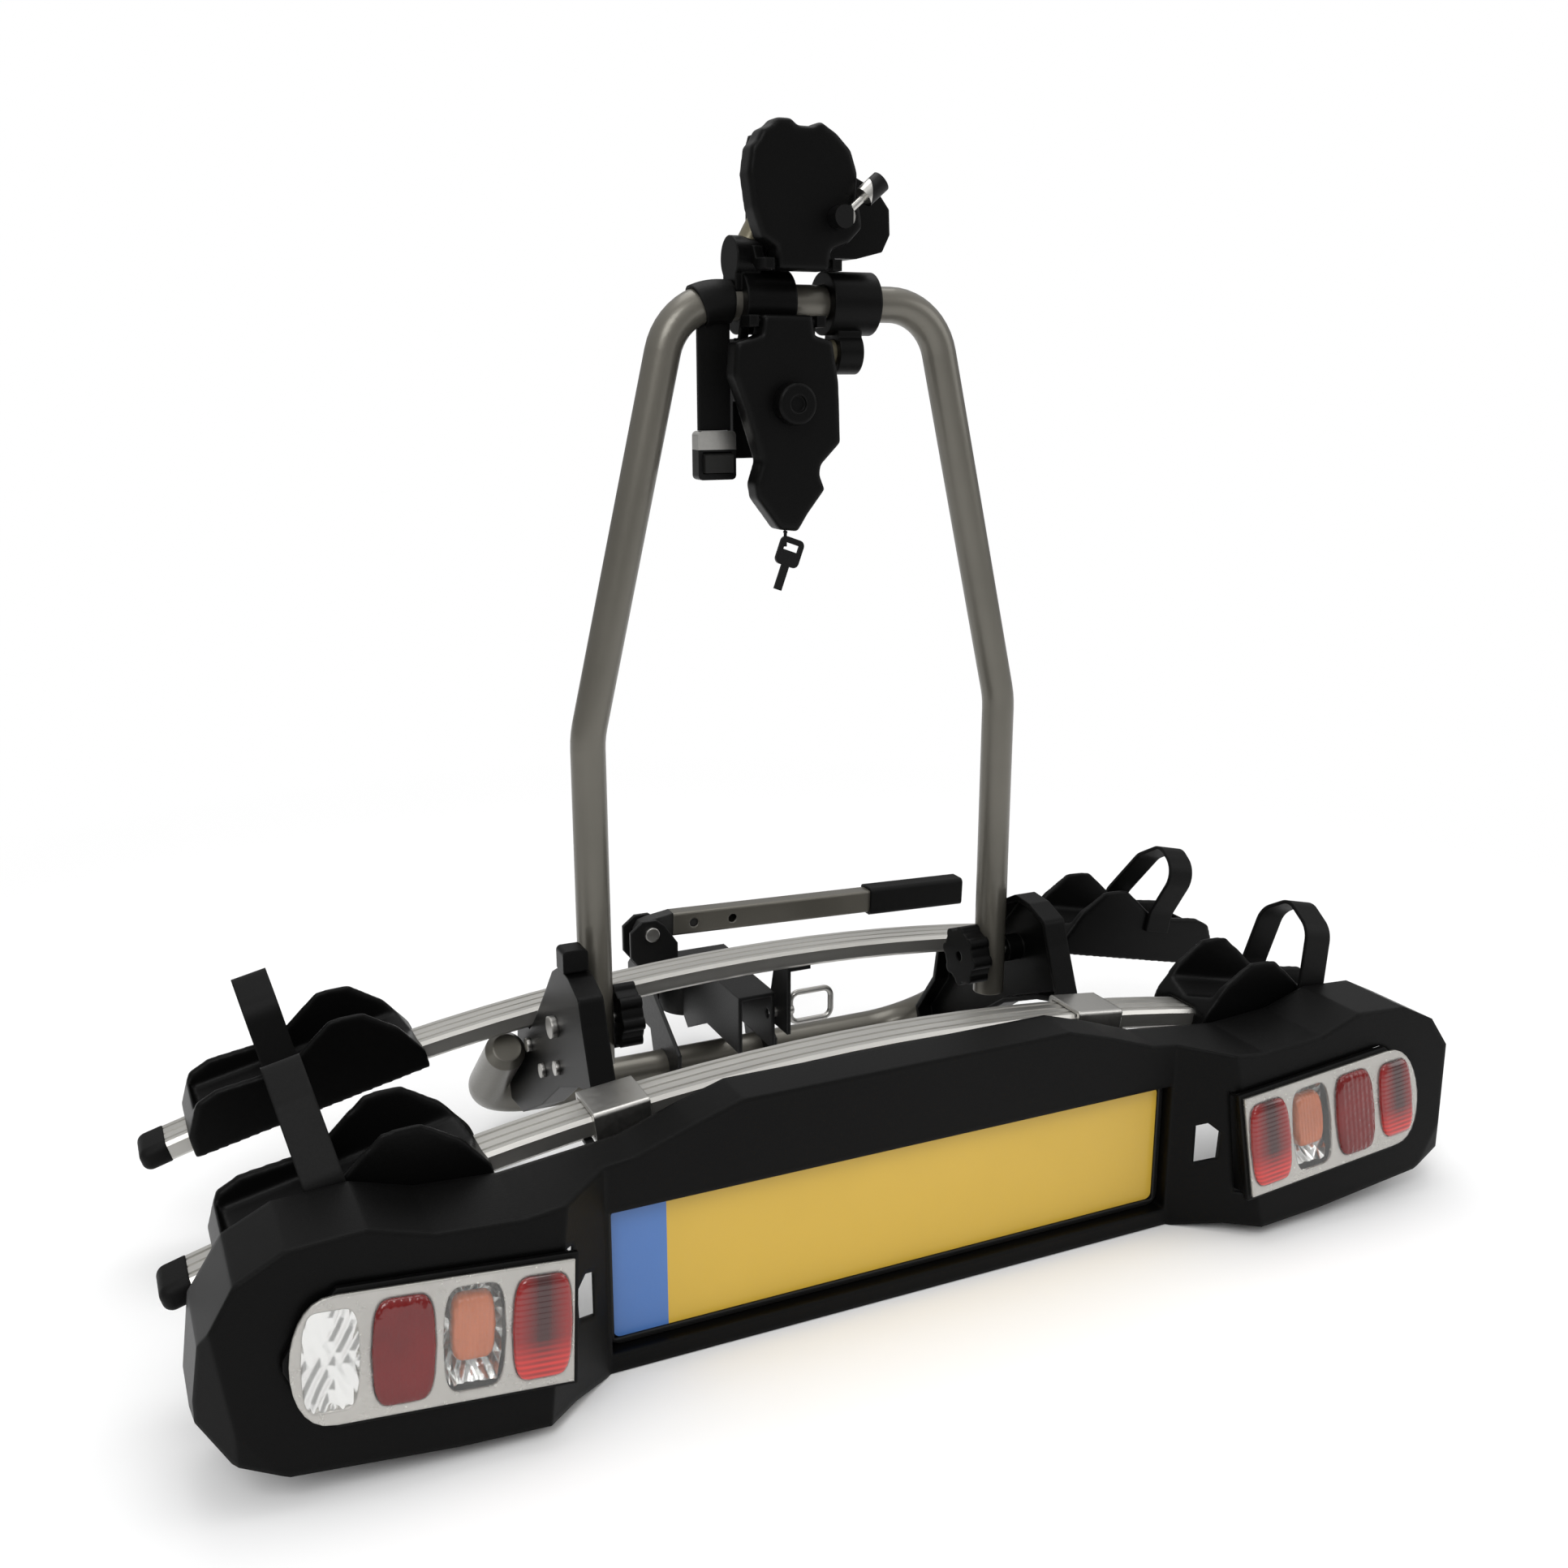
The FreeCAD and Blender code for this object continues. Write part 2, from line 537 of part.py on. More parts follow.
def make_hinge_bracket(name, side):
    """Moulded boot outside each leg, open towards the leg, with a boss round the fold bolt."""
    body = new_body(f"hinge_bracket_{name}")
    inner = "bow_half + bow_dia / 2 + bracket_gap"
    start = inner if side > 0 else f"-({inner}) - bracket_wide"
    outer = f"{inner} + bracket_wide"
    seat = f"rail_z - rail_arc + sqrt((rail_arc - rail_tall / 2)^2 - ({outer})^2) - fit_gap"
    outline = [
        ("bow_y - 43", "fold_z + 60"), ("bow_y - 18", "fold_z + 62"), ("bow_y + 4", "fold_z + 50"),
        ("bow_y + 29", "fold_z + 22"), ("front_y - rail_wide / 2 - 22", "rail_z - 5"),
        ("front_y - rail_wide / 2 - 2", seat), ("front_y + rail_wide / 2", seat),
        ("front_y + rail_wide / 2 + 8", "rail_z - 66"), ("front_y + 64", "-6"), ("front_y + 58", "-22"),
        ("front_y + 16", "-18"), ("bow_y + 56", "19"), ("bow_y - 5", "63"), ("bow_y - 62", "88"),
        ("rear_y + rail_wide / 2 + 5", "rail_z - 9"), ("bow_y - 78", "fold_z + 28"), ("bow_y - 70", "fold_z + 50"),
    ]
    slab(body, "YZ", outline, start, "bracket_wide")
    round_off(body, "7", lambda edge: runs_along(edge, ALONG_X) and edge.Vertexes[0].Z > val("fold_z + 15"))
    open_x = val(inner) * side
    hollow(body, "bracket_wall", lambda face: abs(face.CenterOfMass.x - open_x) < 0.01)
    disc(body, "YZ", [("bow_y", "fold_z")], "13", start, "bracket_wide")
    disc(body, "YZ", [("bow_y", "fold_z")], "fold_bolt / 2 + fit_gap / 6", f"{start} - 1", "bracket_wide + 2", cut=True)


def make_fold_bolts():
    """A bolt through each leg and bracket, held by a lobed hand knob on the inner side."""
    for name, side in SIDES:
        bolt_start = "bow_half - bow_dia / 2 - 8"
        bolt_end = "bow_half + bow_dia / 2 + bracket_gap + bracket_wide"
        shank = rod(f"bolt_shank_{name}", "fold_bolt / 2", f"{bolt_end} - ({bolt_start})",
                    (f"{side} * ({bolt_start})", "bow_y", "fold_z"), (side, 0, 0))
        head = rod(f"bolt_head_{name}", "fold_bolt", "6", (f"{side} * ({bolt_end})", "bow_y", "fold_z"), (side, 0, 0))
        keep(fuse(f"fold_bolt_{name}", [shank, head]), f"fold_bolt_{name}")
        body = new_body(f"fold_knob_{name}")
        near = "bow_half - bow_dia / 2 - fit_gap"
        start = f"{near} - knob_wide" if side > 0 else f"-({near})"
        disc(body, "YZ", [("bow_y", "fold_z")], "knob_dia / 2 - 4", start, "knob_wide")
        ring = [(f"bow_y + (knob_dia / 2 - 6) * cos({360 / val('knob_lobes') * k})",
                 f"fold_z + (knob_dia / 2 - 6) * sin({360 / val('knob_lobes') * k})") for k in range(int(val("knob_lobes")))]
        for u, w in ring:
            disc(body, "YZ", [(u, w)], "6", start, "knob_wide")
        disc(body, "YZ", [("bow_y", "fold_z")], "fold_bolt / 2 + run_gap / 8", f"{start} - 1", "knob_wide + 2", cut=True)


def make_rails():
    """Arched extrusions with lengthwise grooves, with rubber end caps."""
    for name, y in RAILS:
        body = new_body(f"rail_{name}")
        sketch = sketch_on(body, "YZ", "0", "rail_z - rail_arc")
        high = "rail_arc + rail_tall / 2"
        low = "rail_arc - rail_tall / 2"
        top = []
        for shift in (11, 0, -11):
            top += [(f"{y} + {shift} + 1.5", high), (f"{y} + {shift} + 1", f"{high} - rail_groove"),
                    (f"{y} + {shift} - 1", f"{high} - rail_groove"), (f"{y} + {shift} - 1.5", high)]
        bevel = "3"
        outline = [(f"{y} - rail_wide / 2", f"{low} + {bevel}"), (f"{y} - rail_wide / 2 + {bevel}", low),
                   (f"{y} + rail_wide / 2 - {bevel}", low), (f"{y} + rail_wide / 2", f"{low} + {bevel}"),
                   (f"{y} + rail_wide / 2", f"{high} - {bevel}"), (f"{y} + rail_wide / 2 - {bevel}", high)]
        outline += top + [(f"{y} - rail_wide / 2 + {bevel}", high), (f"{y} - rail_wide / 2", f"{high} - {bevel}")]
        polygon(sketch, outline)
        polygon(sketch, box_corners(f"{y} - rail_wide / 2 + rail_wall", f"{y} + rail_wide / 2 - rail_wall",
                                    f"{low} + rail_wall", f"{high} - rail_wall - rail_groove"))
        turn = body.newObject("PartDesign::Revolution", f"rail_{name}_arch")
        turn.Profile = sketch
        turn.ReferenceAxis = (sketch, ["H_Axis"])
        turn.Midplane = True
        turn.setExpression("Angle", cell("2 * asin(rail_half / rail_arc)"))
        caps = []
        for side_name, side in SIDES:
            cap = doc.addObject("PartDesign::Body", f"cap_{name}_{side_name}")
            caps.append(cap)
            wide = "rail_wide / 2 + cap_lip"
            tall = "rail_tall / 2 + cap_lip"
            slab(cap, "YZ", box_corners(f"-({wide})", wide, f"-({tall})", tall), "0", "cap_long")
            round_off(cap, "8", lambda edge: edge.BoundBox.XMax > 1)
            inner = "rail_wide / 2 - rail_wall - fit_gap"
            slab(cap, "YZ", box_corners(f"-({inner})", inner, "rail_wall + fit_gap - rail_tall / 2",
                                        "rail_tall / 2 - rail_wall - rail_groove - fit_gap"), "-plug_long", "plug_long + 1")
            cap.Placement = arch(val("asin(rail_half / rail_arc)"), y, side)
        keep(group(f"caps_{name}", caps), f"caps_{name}")


def make_rail_clamps():
    """Saddles that bolt the rear rail to the foot of each hinge bracket."""
    for name, side in SIDES:
        body = new_body(f"rail_clamp_{name}")
        wide = "rail_wide / 2 + fit_gap + clamp_wall"
        slab(body, "YZ", box_corners(f"-({wide})", wide, "-rail_tall / 2 - clamp_wall", "rail_tall / 2 + clamp_top"),
             "-clamp_long / 2", "clamp_long")
        round_off(body, "3", lambda edge: runs_along(edge, ALONG_X) and edge.Vertexes[0].Z > val("rail_tall / 2 + 1"))
        slab(body, "YZ", box_corners("-rail_wide / 2 - fit_gap", "rail_wide / 2 + fit_gap",
                                     "-rail_tall / 2 - fit_gap", "rail_tall / 2 + fit_gap"),
             "-clamp_long / 2 - 1", "clamp_long + 2", cut=True)
        body.Placement = arch(val(f"asin(({CLAMP_X}) / rail_arc)"), "rear_y", side)


def make_tilt_latch():
    """Keeper hung from the front rail beside the tail arm, with the pull handle and its pin."""
    keeper = new_body("latch_keeper")
    near = "tail_half + 5"
    under = f"rail_z - rail_arc + sqrt((rail_arc - rail_tall / 2)^2 - ({near} + 26)^2) - fit_gap"
    plate = [
        ("front_y - 16", "tail_low + 20"), ("front_y + 26", "tail_low + 20"), ("front_y + 26", "tail_low + 48"),
        ("front_y + 14", under), ("front_y - 16", under),
    ]
    slab(keeper, "YZ", plate, near, "steel")
    flange = box_corners(near, f"{near} + 26", "front_y - 16", "front_y + 14")
    slab(keeper, "XY", flange, f"{under} - steel", "steel")
    disc(keeper, "YZ", [("tail_end + 10", "tail_low + 34")], "5 + run_gap / 4", near + " - 1", "steel + 2", cut=True)
    x = "tail_half + fit_gap"
    pin = rod("latch_pin", "5", "24", (x, "tail_end + 10", "tail_low + 34"), (1, 0, 0))
    left = val("tail_half + 22")
    right = left + 46
    low = val("tail_low + 19")
    high = val("tail_low + 51")
    middle = (low + high) / 2
    y = val("tail_end + 10")
    halves = []
    for end in (low, high):
        points = [Vector(left, y, middle), Vector(left, y, end), Vector(right, y, end), Vector(right, y, middle)]
        halves.append(bent_tube(points, [9, 9], 3, 0))
    doc.recompute()
    shaped("latch_handle", pin.Shape.fuse(halves).removeSplitter())


BOARD_HALF = [
    ("272", "-86"), ("306", "-77"), ("400", "-72"), ("516", "-60"), ("552", "-44"), ("574", "-16"),
    ("566", "42"), ("540", "82"), ("505", "99"), ("450", "102"), ("404", "88"), ("340", "84"), ("244", "95"),
    ("196", "112"), ("153", "125"),
]


def make_light_board():
    """Moulded shell, open to the front, with a plate recess and two lamp pods that stand back."""
    body = new_body("light_board")
    depth = "board_front - pod_low_y + 4"
    slab(body, "XZ", mirrored(BOARD_HALF), "-board_front", depth)
    far = "pod_low_y - 5"
    step = [("-268", "board_face"), ("268", "board_face"), ("340", far), ("-340", far)]
    slab(body, "XY", step, "-90", "220", cut=True)
    for name, side in SIDES:
        end = [(f"{side} * 470", far), (f"{side} * 548", "pod_low_y + 9"), (f"{side} * 572", "pod_low_y + 32"),
               (f"{side} * 580", "board_front"), (f"{side} * 600", "board_front"), (f"{side} * 600", far)]
        slab(body, "XY", end, "-90", "220", cut=True)
    lean = [("pod_low_y", "-90"), ("pod_high_y", "110"), (far, "110"), (far, "-90")]
    slab(body, "YZ", lean, "-600", "1200", cut=True)
    front = val("board_front")
    hollow(body, "board_wall", lambda face: abs(face.CenterOfMass.y - front) < 0.01)
    long = "plate_long / 2 + frame_lip + 1"
    tall = "plate_tall / 2 + frame_lip + 1"
    well = box_corners(f"-({long}) - board_wall", f"{long} + board_wall",
                       f"plate_z - ({tall}) - board_wall", f"plate_z + {tall} + board_wall")
    slab(body, "XZ", well, "-plate_y - board_wall", "plate_y - board_face", cut=False)
    recess = box_corners(f"-({long})", long, f"plate_z - ({tall})", f"plate_z + {tall}")
    slab(body, "XZ", recess, "-plate_y", "60", cut=True)
    for name, side in SIDES:
        opening = [turned(side, u, w) for u, w in lamp_outline("-0.85 * lamp_flange")]
        slab(body, "XZ", opening, "35 - lamp_y - 60", "80", cut=True)
        slot = [(f"{side} * 284", "-22"), (f"{side} * 300", "-14"), (f"{side} * 301", "12"), (f"{side} * 292", "20"),
                (f"{side} * 284", "16")]
        slab(body, "XZ", slot, "-board_face - 30", "90", cut=True)


def turned(side, u, w):
    """A lamp corner drawn about the lamp's middle, moved to its place on the board."""
    across = f"{side} * (lamp_x + ({u}) * cos(lamp_roll) - ({w}) * sin(lamp_roll))"
    return across, f"lamp_z + ({u}) * sin(lamp_roll) + ({w}) * cos(lamp_roll)"


def make_plate():
    """Bare yellow number plate in a thin surround."""
    plate = new_body("number_plate")
    low = "plate_z - plate_tall / 2"
    high = "plate_z + plate_tall / 2"
    slab(plate, "XZ", box_corners("-plate_long / 2", "plate_long / 2", low, high), "-plate_y", "plate_thick")
    round_off(plate, "plate_corner", lambda edge: runs_along(edge, ALONG_Y))
    surround = new_body("plate_surround")
    slab(surround, "XZ", box_corners("-plate_long / 2 - frame_lip", "plate_long / 2 + frame_lip", f"{low} - frame_lip",
                                     f"{high} + frame_lip"), "-plate_y", "plate_thick + 2")
    round_off(surround, "plate_corner + frame_lip", lambda edge: runs_along(edge, ALONG_Y))
    slab(surround, "XZ", box_corners("-plate_long / 2 - fit_gap", "plate_long / 2 + fit_gap", f"{low} - fit_gap",
                                     f"{high} + fit_gap"), "-plate_y - 1", "plate_thick + 4", cut=True)


CELLS = ("-76", "-27", "23", "74")
RED_CELLS = {"left": ("-76", "23"), "right": ("-76", "23", "74")}


def lamp_outline(inset):
    """Outline of a lamp with a square inner end and a bowed outer end at +X."""
    i = f"{inset}"
    return [(f"{i} - lamp_long / 2", f"{i} - lamp_tall / 2"), (f"66 - {i} / 2", f"{i} - lamp_tall / 2"),
            (f"lamp_long / 2 - 10 - {i}", f"26 + {i} / 2 - lamp_tall / 2"), (f"lamp_long / 2 - {i}", "-4"),
            (f"lamp_long / 2 - {i}", "4"), (f"lamp_long / 2 - 10 - {i}", f"lamp_tall / 2 - {i} / 2 - 26"),
            (f"66 - {i} / 2", f"lamp_tall / 2 - {i}"), (f"{i} - lamp_long / 2", f"lamp_tall / 2 - {i}")]


def barrel(centre):
    """A barrel-shaped cell, bowed at its sides."""
    return [(f"{centre} - 17", "-34"), (f"{centre} + 17", "-34"), (f"{centre} + 21", "-14"), (f"{centre} + 21", "14"),
            (f"{centre} + 17", "34"), (f"{centre} - 17", "34"), (f"{centre} - 21", "14"), (f"{centre} - 21", "-14")]


def make_lamps():
    """Rear lamps, drawn upright with their faces to -Y and then leaned onto the pods."""
    for name, side in SIDES:
        lean = Rotation(Vector(1, 0, 0), -val("lamp_lean"))
        roll = Rotation(Vector(0, 1, 0), -side * val("lamp_roll"))
        spot = Placement(Vector(side * val("lamp_x"), val("lamp_y"), val("lamp_z")), lean * roll)
        flip = [(f"{side} * ({u})", w) for u, w in lamp_outline("0")]
        inner = [(f"{side} * ({u})", w) for u, w in lamp_outline("lamp_wall")]
        housing = new_body(f"lamp_housing_{name}")
        rim = [(f"{side} * ({u})", w) for u, w in lamp_outline("-lamp_flange")]
        slab(housing, "XZ", flip, "-lamp_deep", "lamp_deep + 6")
        slab(housing, "XZ", rim, "fit_gap", "6 - fit_gap")
        slab(housing, "XZ", inner, "lamp_wall - lamp_deep", "lamp_deep + 10", cut=True)
        for wall in ("-51.5", "-2", "48.5"):
            slab(housing, "XZ", box_corners(f"{side} * {wall} - 1", f"{side} * {wall} + 1", "1 - lamp_tall / 2", "lamp_tall / 2 - 1"),
                 "lamp_wall - lamp_deep", "lamp_deep + 4 - lamp_wall")
        lens = new_body(f"lamp_lens_{name}")
        slab(lens, "XZ", flip, "6 + fit_gap", "lens_thick")
        red = RED_CELLS[name]
        for centre in [cell_x for cell_x in CELLS if cell_x not in red]:
            slab(lens, "XZ", [(f"{side} * ({u})", w) for u, w in barrel(centre)], "6 + fit_gap", "lens_thick + cell_rise")
        cells = new_body(f"lamp_red_{name}")
        for centre in red:
            slab(cells, "XZ", [(f"{side} * ({u})", w) for u, w in barrel(centre)], "6 + 2 * fit_gap + lens_thick", "cell_rise")
        bulbs = []
        for index, centre in enumerate(CELLS):
            x = f"{side} * ({centre})"
            glass = ball(f"bulb_glass_{name}_{index}", "bulb_dia / 2", (x, "8", "0"))
            base = rod(f"bulb_base_{name}_{index}", "bulb_dia / 3", "lamp_deep - lamp_wall - 8 - fit_gap", (x, "8", "0"), (0, 1, 0))
            bulbs.append(fuse(f"bulb_{name}_{index}", [glass, base]))
        holder = keep(group(f"lamp_bulbs_{name}", bulbs), f"lamp_bulbs_{name}")
        for item in (housing, lens, cells, holder):
            item.Placement = spot


def make_trays():
    """Moulded wheel tray drawn at the top of the arch, outboard along +X, then set on its rail."""
    for name, y in RAILS:
        for side_name, side in SIDES:
            body = new_body(f"tray_{name}_{side_name}")
            end = "tray_long / 2"
            outline = [
                (f"-{end}", "-tray_low"), (f"{end}", "-tray_low"), (f"{end}", "10"), (f"{end} - 14", "tray_dome - 6"),
                (f"{end} - 34", "tray_dome"), ("12", "tray_dome - 4"), ("-8", "tray_fin - 16"), ("-34", "tray_fin"),
                ("-62", "tray_fin - 4"), ("-88", "tray_fin - 30"), (f"-{end}", "6"),
            ]
            slab(body, "XZ", outline, "-tray_wide / 2", "tray_wide")
            round_off(body, "9", lambda edge: runs_along(edge, ALONG_Y) and edge.Vertexes[0].Z > val("rail_tall"))
            channel = [("-tyre_wide / 2", "rail_tall / 2 + 14"), ("0", "rail_tall / 2 + 5"), ("tyre_wide / 2", "rail_tall / 2 + 14"),
                       ("tyre_wide / 2 + 4", "tray_fin + 1"), ("-tyre_wide / 2 - 4", "tray_fin + 1")]
            slab(body, "YZ", channel, f"-{end} - 1", "tray_long - 11", cut=True)
            for flank in (-1, 1):
                hole = box_corners(f"{flank} * (rail_wide / 2 + 4)", f"{flank} * (tray_wide / 2 - 4)", "-tray_low - 1", "rail_tall / 2 + 2")
                slab(body, "YZ", hole, f"-{end} + 5", "tray_long - 10", cut=True)
            sketch = sketch_on(body, "YZ", "0", "-rail_arc")
            gap = "rail_wide / 2 + fit_gap"
            polygon(sketch, box_corners(f"-({gap})", gap, "rail_arc - tray_low - 6", "rail_arc + rail_tall / 2 + fit_gap"))
            groove = body.newObject("PartDesign::Groove", f"{body.Name}_saddle")
            groove.Profile = sketch
            groove.ReferenceAxis = (sketch, ["H_Axis"])
            groove.Midplane = True
            groove.setExpression("Angle", "10")
            body.Placement = arch(val("tray_turn"), y, side)
            make_wheel_strap(name, side_name, y, side)


LEANS = {"rear_left": 34, "rear_right": 0, "front_left": 0, "front_right": -30}


def make_wheel_strap(name, side_name, y, side):
    """Rubber strap arched over the tyre channel, with its feet on the outside of the tray."""
    lean = LEANS[f"{name}_{side_name}"]
    if side < 0:
        lean = -lean
    half = val("tray_wide / 2 + fit_gap")
    top = val("strap_top")
    points = [Vector(0, -half, 24), Vector(0, -half, 46), Vector(0, lean - half * 0.8, top - 14), Vector(0, lean, top + 4),
              Vector(0, lean + half * 0.8, top - 14), Vector(0, half, 46), Vector(0, half, 24)]
    path = rounded_path(points, [20, 22, 14, 22, 20])
    face = path.makeOffset2D(val("strap_thick"), 0, True, True)
    if face.BoundBox.YMax < half + 1:
        face = path.makeOffset2D(-val("strap_thick"), 0, True, True)
    band = face.extrude(Vector(val("strap_wide"), 0, 0))
    band.translate(Vector(14 - val("strap_wide") / 2, 0, 0))
    item = shaped(f"wheel_strap_{name}_{side_name}", band)
    item.Placement = arch(val("tray_turn"), y, side)


def ring(name, inner, outer, length, at, along):
    """A sleeve: a round bar with a bore."""
    far = [f"{text} - {step}" for text, step in zip(at, along)]
    return cut_away(name, rod(name + "_outside", outer, length, at, along),
                    rod(name + "_bore", inner, f"{length} + 2", far, along))


ARMS = {
    "upper": (("upper_collar_x - 17", "bow_y", "top_z + 34"), (0.5, 0, 0.866), "upper_arm_long"),
    "lower": (("lower_collar_x - 4 + knuckle / 2", "bow_y", "top_z - 40"), (-1, 0, 0), "arm_long"),
}


def make_collars():
    """Collars that turn on the top bar, each with a socket for the short tube of its frame arm."""
    bar = "bow_dia / 2 + run_gap / 4"
    wall = "bow_dia / 2 + collar_wall"
    sockets = {"upper": ("upper_collar_x - 17", "top_z + 34"), "lower": ("lower_collar_x - 2", "top_z - 40")}
    for name, (x, z) in sockets.items():
        start = f"{name}_collar_x - collar_long / 2"
        sleeve = rod(f"{name}_sleeve", wall, "collar_long", (start, "bow_y", "top_z"), (1, 0, 0))
        low = "top_z" if name == "upper" else z
        neck = block(f"{name}_neck", ("knuckle", "26", f"abs({z} - top_z)"), (f"{x} - knuckle / 2", "bow_y - 13", low))
        socket = rod(f"{name}_socket", "arm_tube / 2 + 7", "knuckle", (f"{x} - knuckle / 2", "bow_y", z), (1, 0, 0))
        bore = rod(f"{name}_bar_bore", bar, "collar_long + 60", (f"{start} - 30", "bow_y", "top_z"), (1, 0, 0))
        if name == "upper":
            seat = rod("upper_seat", "arm_tube / 2", "60", ARMS["upper"][0], ARMS["upper"][1])
        else:
            seat = rod("lower_seat", "arm_tube / 2", "60", (f"{x} + knuckle / 2 - 2", "bow_y", z), (-1, 0, 0))
        solid = fuse(f"{name}_collar_solid", [sleeve, neck, socket])
        keep(cut_away(f"{name}_collar", solid, fuse(f"{name}_collar_holes", [bore, seat])), f"{name}_collar")
    for name, (at, along, length) in ARMS.items():
        keep(ring(f"{name}_arm_tube", "arm_tube / 2 - arm_tube_wall", "arm_tube / 2", length, at, along), f"{name}_arm_tube")


UPPER_GEAR = [
    ("30", "-56"), ("60", "-56"), ("84", "-50"), ("91", "-36"), ("90", "-16"), ("78", "-1"), ("62", "6"),
    ("44", "15"), ("30", "15"),
]
UPPER_PAD = [
    ("-22", "-68"), ("22", "-68"), ("24", "-52"), ("40", "-46"), ("52", "-34"), ("50", "-20"), ("46", "-14"), ("47", "8"), ("41", "25"),
    ("28", "37"), ("14", "45"), ("7", "41"), ("-6", "41"), ("-12", "46"), ("-24", "46"), ("-30", "40"),
    ("-37", "37"), ("-41", "29"), ("-46", "24"), ("-49", "4"), ("-45", "-22"), ("-37", "-44"), ("-24", "-52"),
]
LOWER_PAD = [
    ("-22", "-54"), ("22", "-54"), ("24", "-38"), ("40", "-34"), ("46", "0"), ("48", "48"), ("30", "66"),
    ("29", "74"), ("34", "86"), ("18", "106"), ("9", "120"), ("-8", "118"), ("-14", "110"), ("-28", "92"),
    ("-30", "80"), ("-24", "62"), ("-38", "20"), ("-48", "-6"), ("-46", "-32"), ("-24", "-38"),
]


def make_frame_clamps():
    """Two frame clamps on the arms: a fixed jaw towards the car and a hinged outer jaw.

    Heights are counted from the middle of the clamp, away from the hinge. The hinge is "root" less 6 the other
    way, the solid part of the body runs from "hold" to "solid" and the fixed jaw ends at "rise".
    """
    clamps = {
        "upper": {"pad": UPPER_PAD, "up": 1, "root": 68, "hold": 62, "solid": 16, "rise": 40, "left": 20, "right": 40,
                  "foot": 2.6},
        "lower": {"pad": LOWER_PAD, "up": -1, "root": 54, "hold": 36, "solid": -9, "rise": 62, "left": 24, "right": 42,
                  "foot": 8},
    }
    front = "jaw_face_y + jaw_thick + jaw_open"
    hinge_y = "jaw_face_y + jaw_thick / 2"
    behind_jaw = "jaw_face_y + jaw_thick + 6"
    for name, clamp in clamps.items():
        up, root, hold, solid = clamp["up"], clamp["root"], clamp["hold"], clamp["solid"]
        x = f"{name}_x"
        z = f"{name}_z - {up}"
        hinge_z = f"{z} * ({root} - 6)"
        jaw = new_body(f"{name}_jaw")
        pad = [(f"{x} + {u}", f"{name}_z + {up} * ({w})") for u, w in clamp["pad"]]
        slab(jaw, "XZ", pad, "-jaw_face_y - jaw_thick", "jaw_thick")
        round_off(jaw, "4", lambda edge: edge.BoundBox.YMax < val("jaw_face_y") + 0.1)
        disc(jaw, "YZ", [(hinge_y, hinge_z)], "jaw_pin / 2 + run_gap / 4", f"{x} - 60", "120", cut=True)
        body = doc.addObject("PartDesign::Body", f"{name}_clamp_body")
        tip = f"{name}_z + {up}"
        wall = [(front, f"{z} * {hold}"), (f"{front} + jaw_back", f"{z} * {hold}"),
                (f"{front} + jaw_back", f"{tip} * ({clamp['rise']} - 8)"),
                (f"{front} + jaw_back - 6", f"{tip} * {clamp['rise']}"), (front, f"{tip} * {clamp['rise']}"),
                (front, f"{z} * ({solid} - 6)"), (behind_jaw, f"{z} * ({solid})"), (behind_jaw, f"{z} * {hold}")]
        slab(body, "YZ", wall, f"{x} - {clamp['left']}", f"{clamp['left']} + {clamp['right']}")
        ear_face = [("jaw_face_y + 3", f"{z} * ({root} - 9.5)"), ("jaw_face_y + 3", f"{z} * ({root} - 0.5)"),
                    ("jaw_face_y + 21", f"{z} * ({root} - 0.5)"), (behind_jaw, f"{z} * {hold}"),
                    (behind_jaw, f"{z} * ({hold} - 14)"), ("jaw_face_y + jaw_thick + 0.5", f"{z} * ({root} - 9.9)")]
        for ear in ("-34", "26"):
            foot = f"-{clamp['left']}" if ear == "-34" and clamp["left"] < 34 else ear
            slab(body, "YZ", ear_face, f"{x} + {ear}", "8")
            if foot != ear:
                back = f"{behind_jaw} + {clamp['foot']}"
                slab(body, "YZ", [(behind_jaw, f"{z} * {hold}"), (behind_jaw, f"{z} * ({hold} - 14)"),
                                  (back, f"{z} * ({hold} - 14)"), (back, f"{z} * {hold}")], f"{x} + {ear}", "12")
        disc(body, "YZ", [(hinge_y, hinge_z)], "jaw_pin / 2", f"{x} - 33", "66")
        if name == "upper":
            gear = [(f"{x} + {u}", f"upper_z + {w}") for u, w in UPPER_GEAR]
            slab(body, "XZ", gear, "-jaw_face_y - jaw_thick - jaw_open", "jaw_open - 6")
            round_off(body, "3", lambda edge: edge.BoundBox.XMin > val("upper_x + 45") and runs_along(edge, ALONG_Y))
        seat = rod(f"{name}_tube_seat", "arm_tube / 2", f"{ARMS[name][2]}", ARMS[name][0], ARMS[name][1])
        keep(cut_away(f"{name}_clamp", body, seat), f"{name}_clamp")


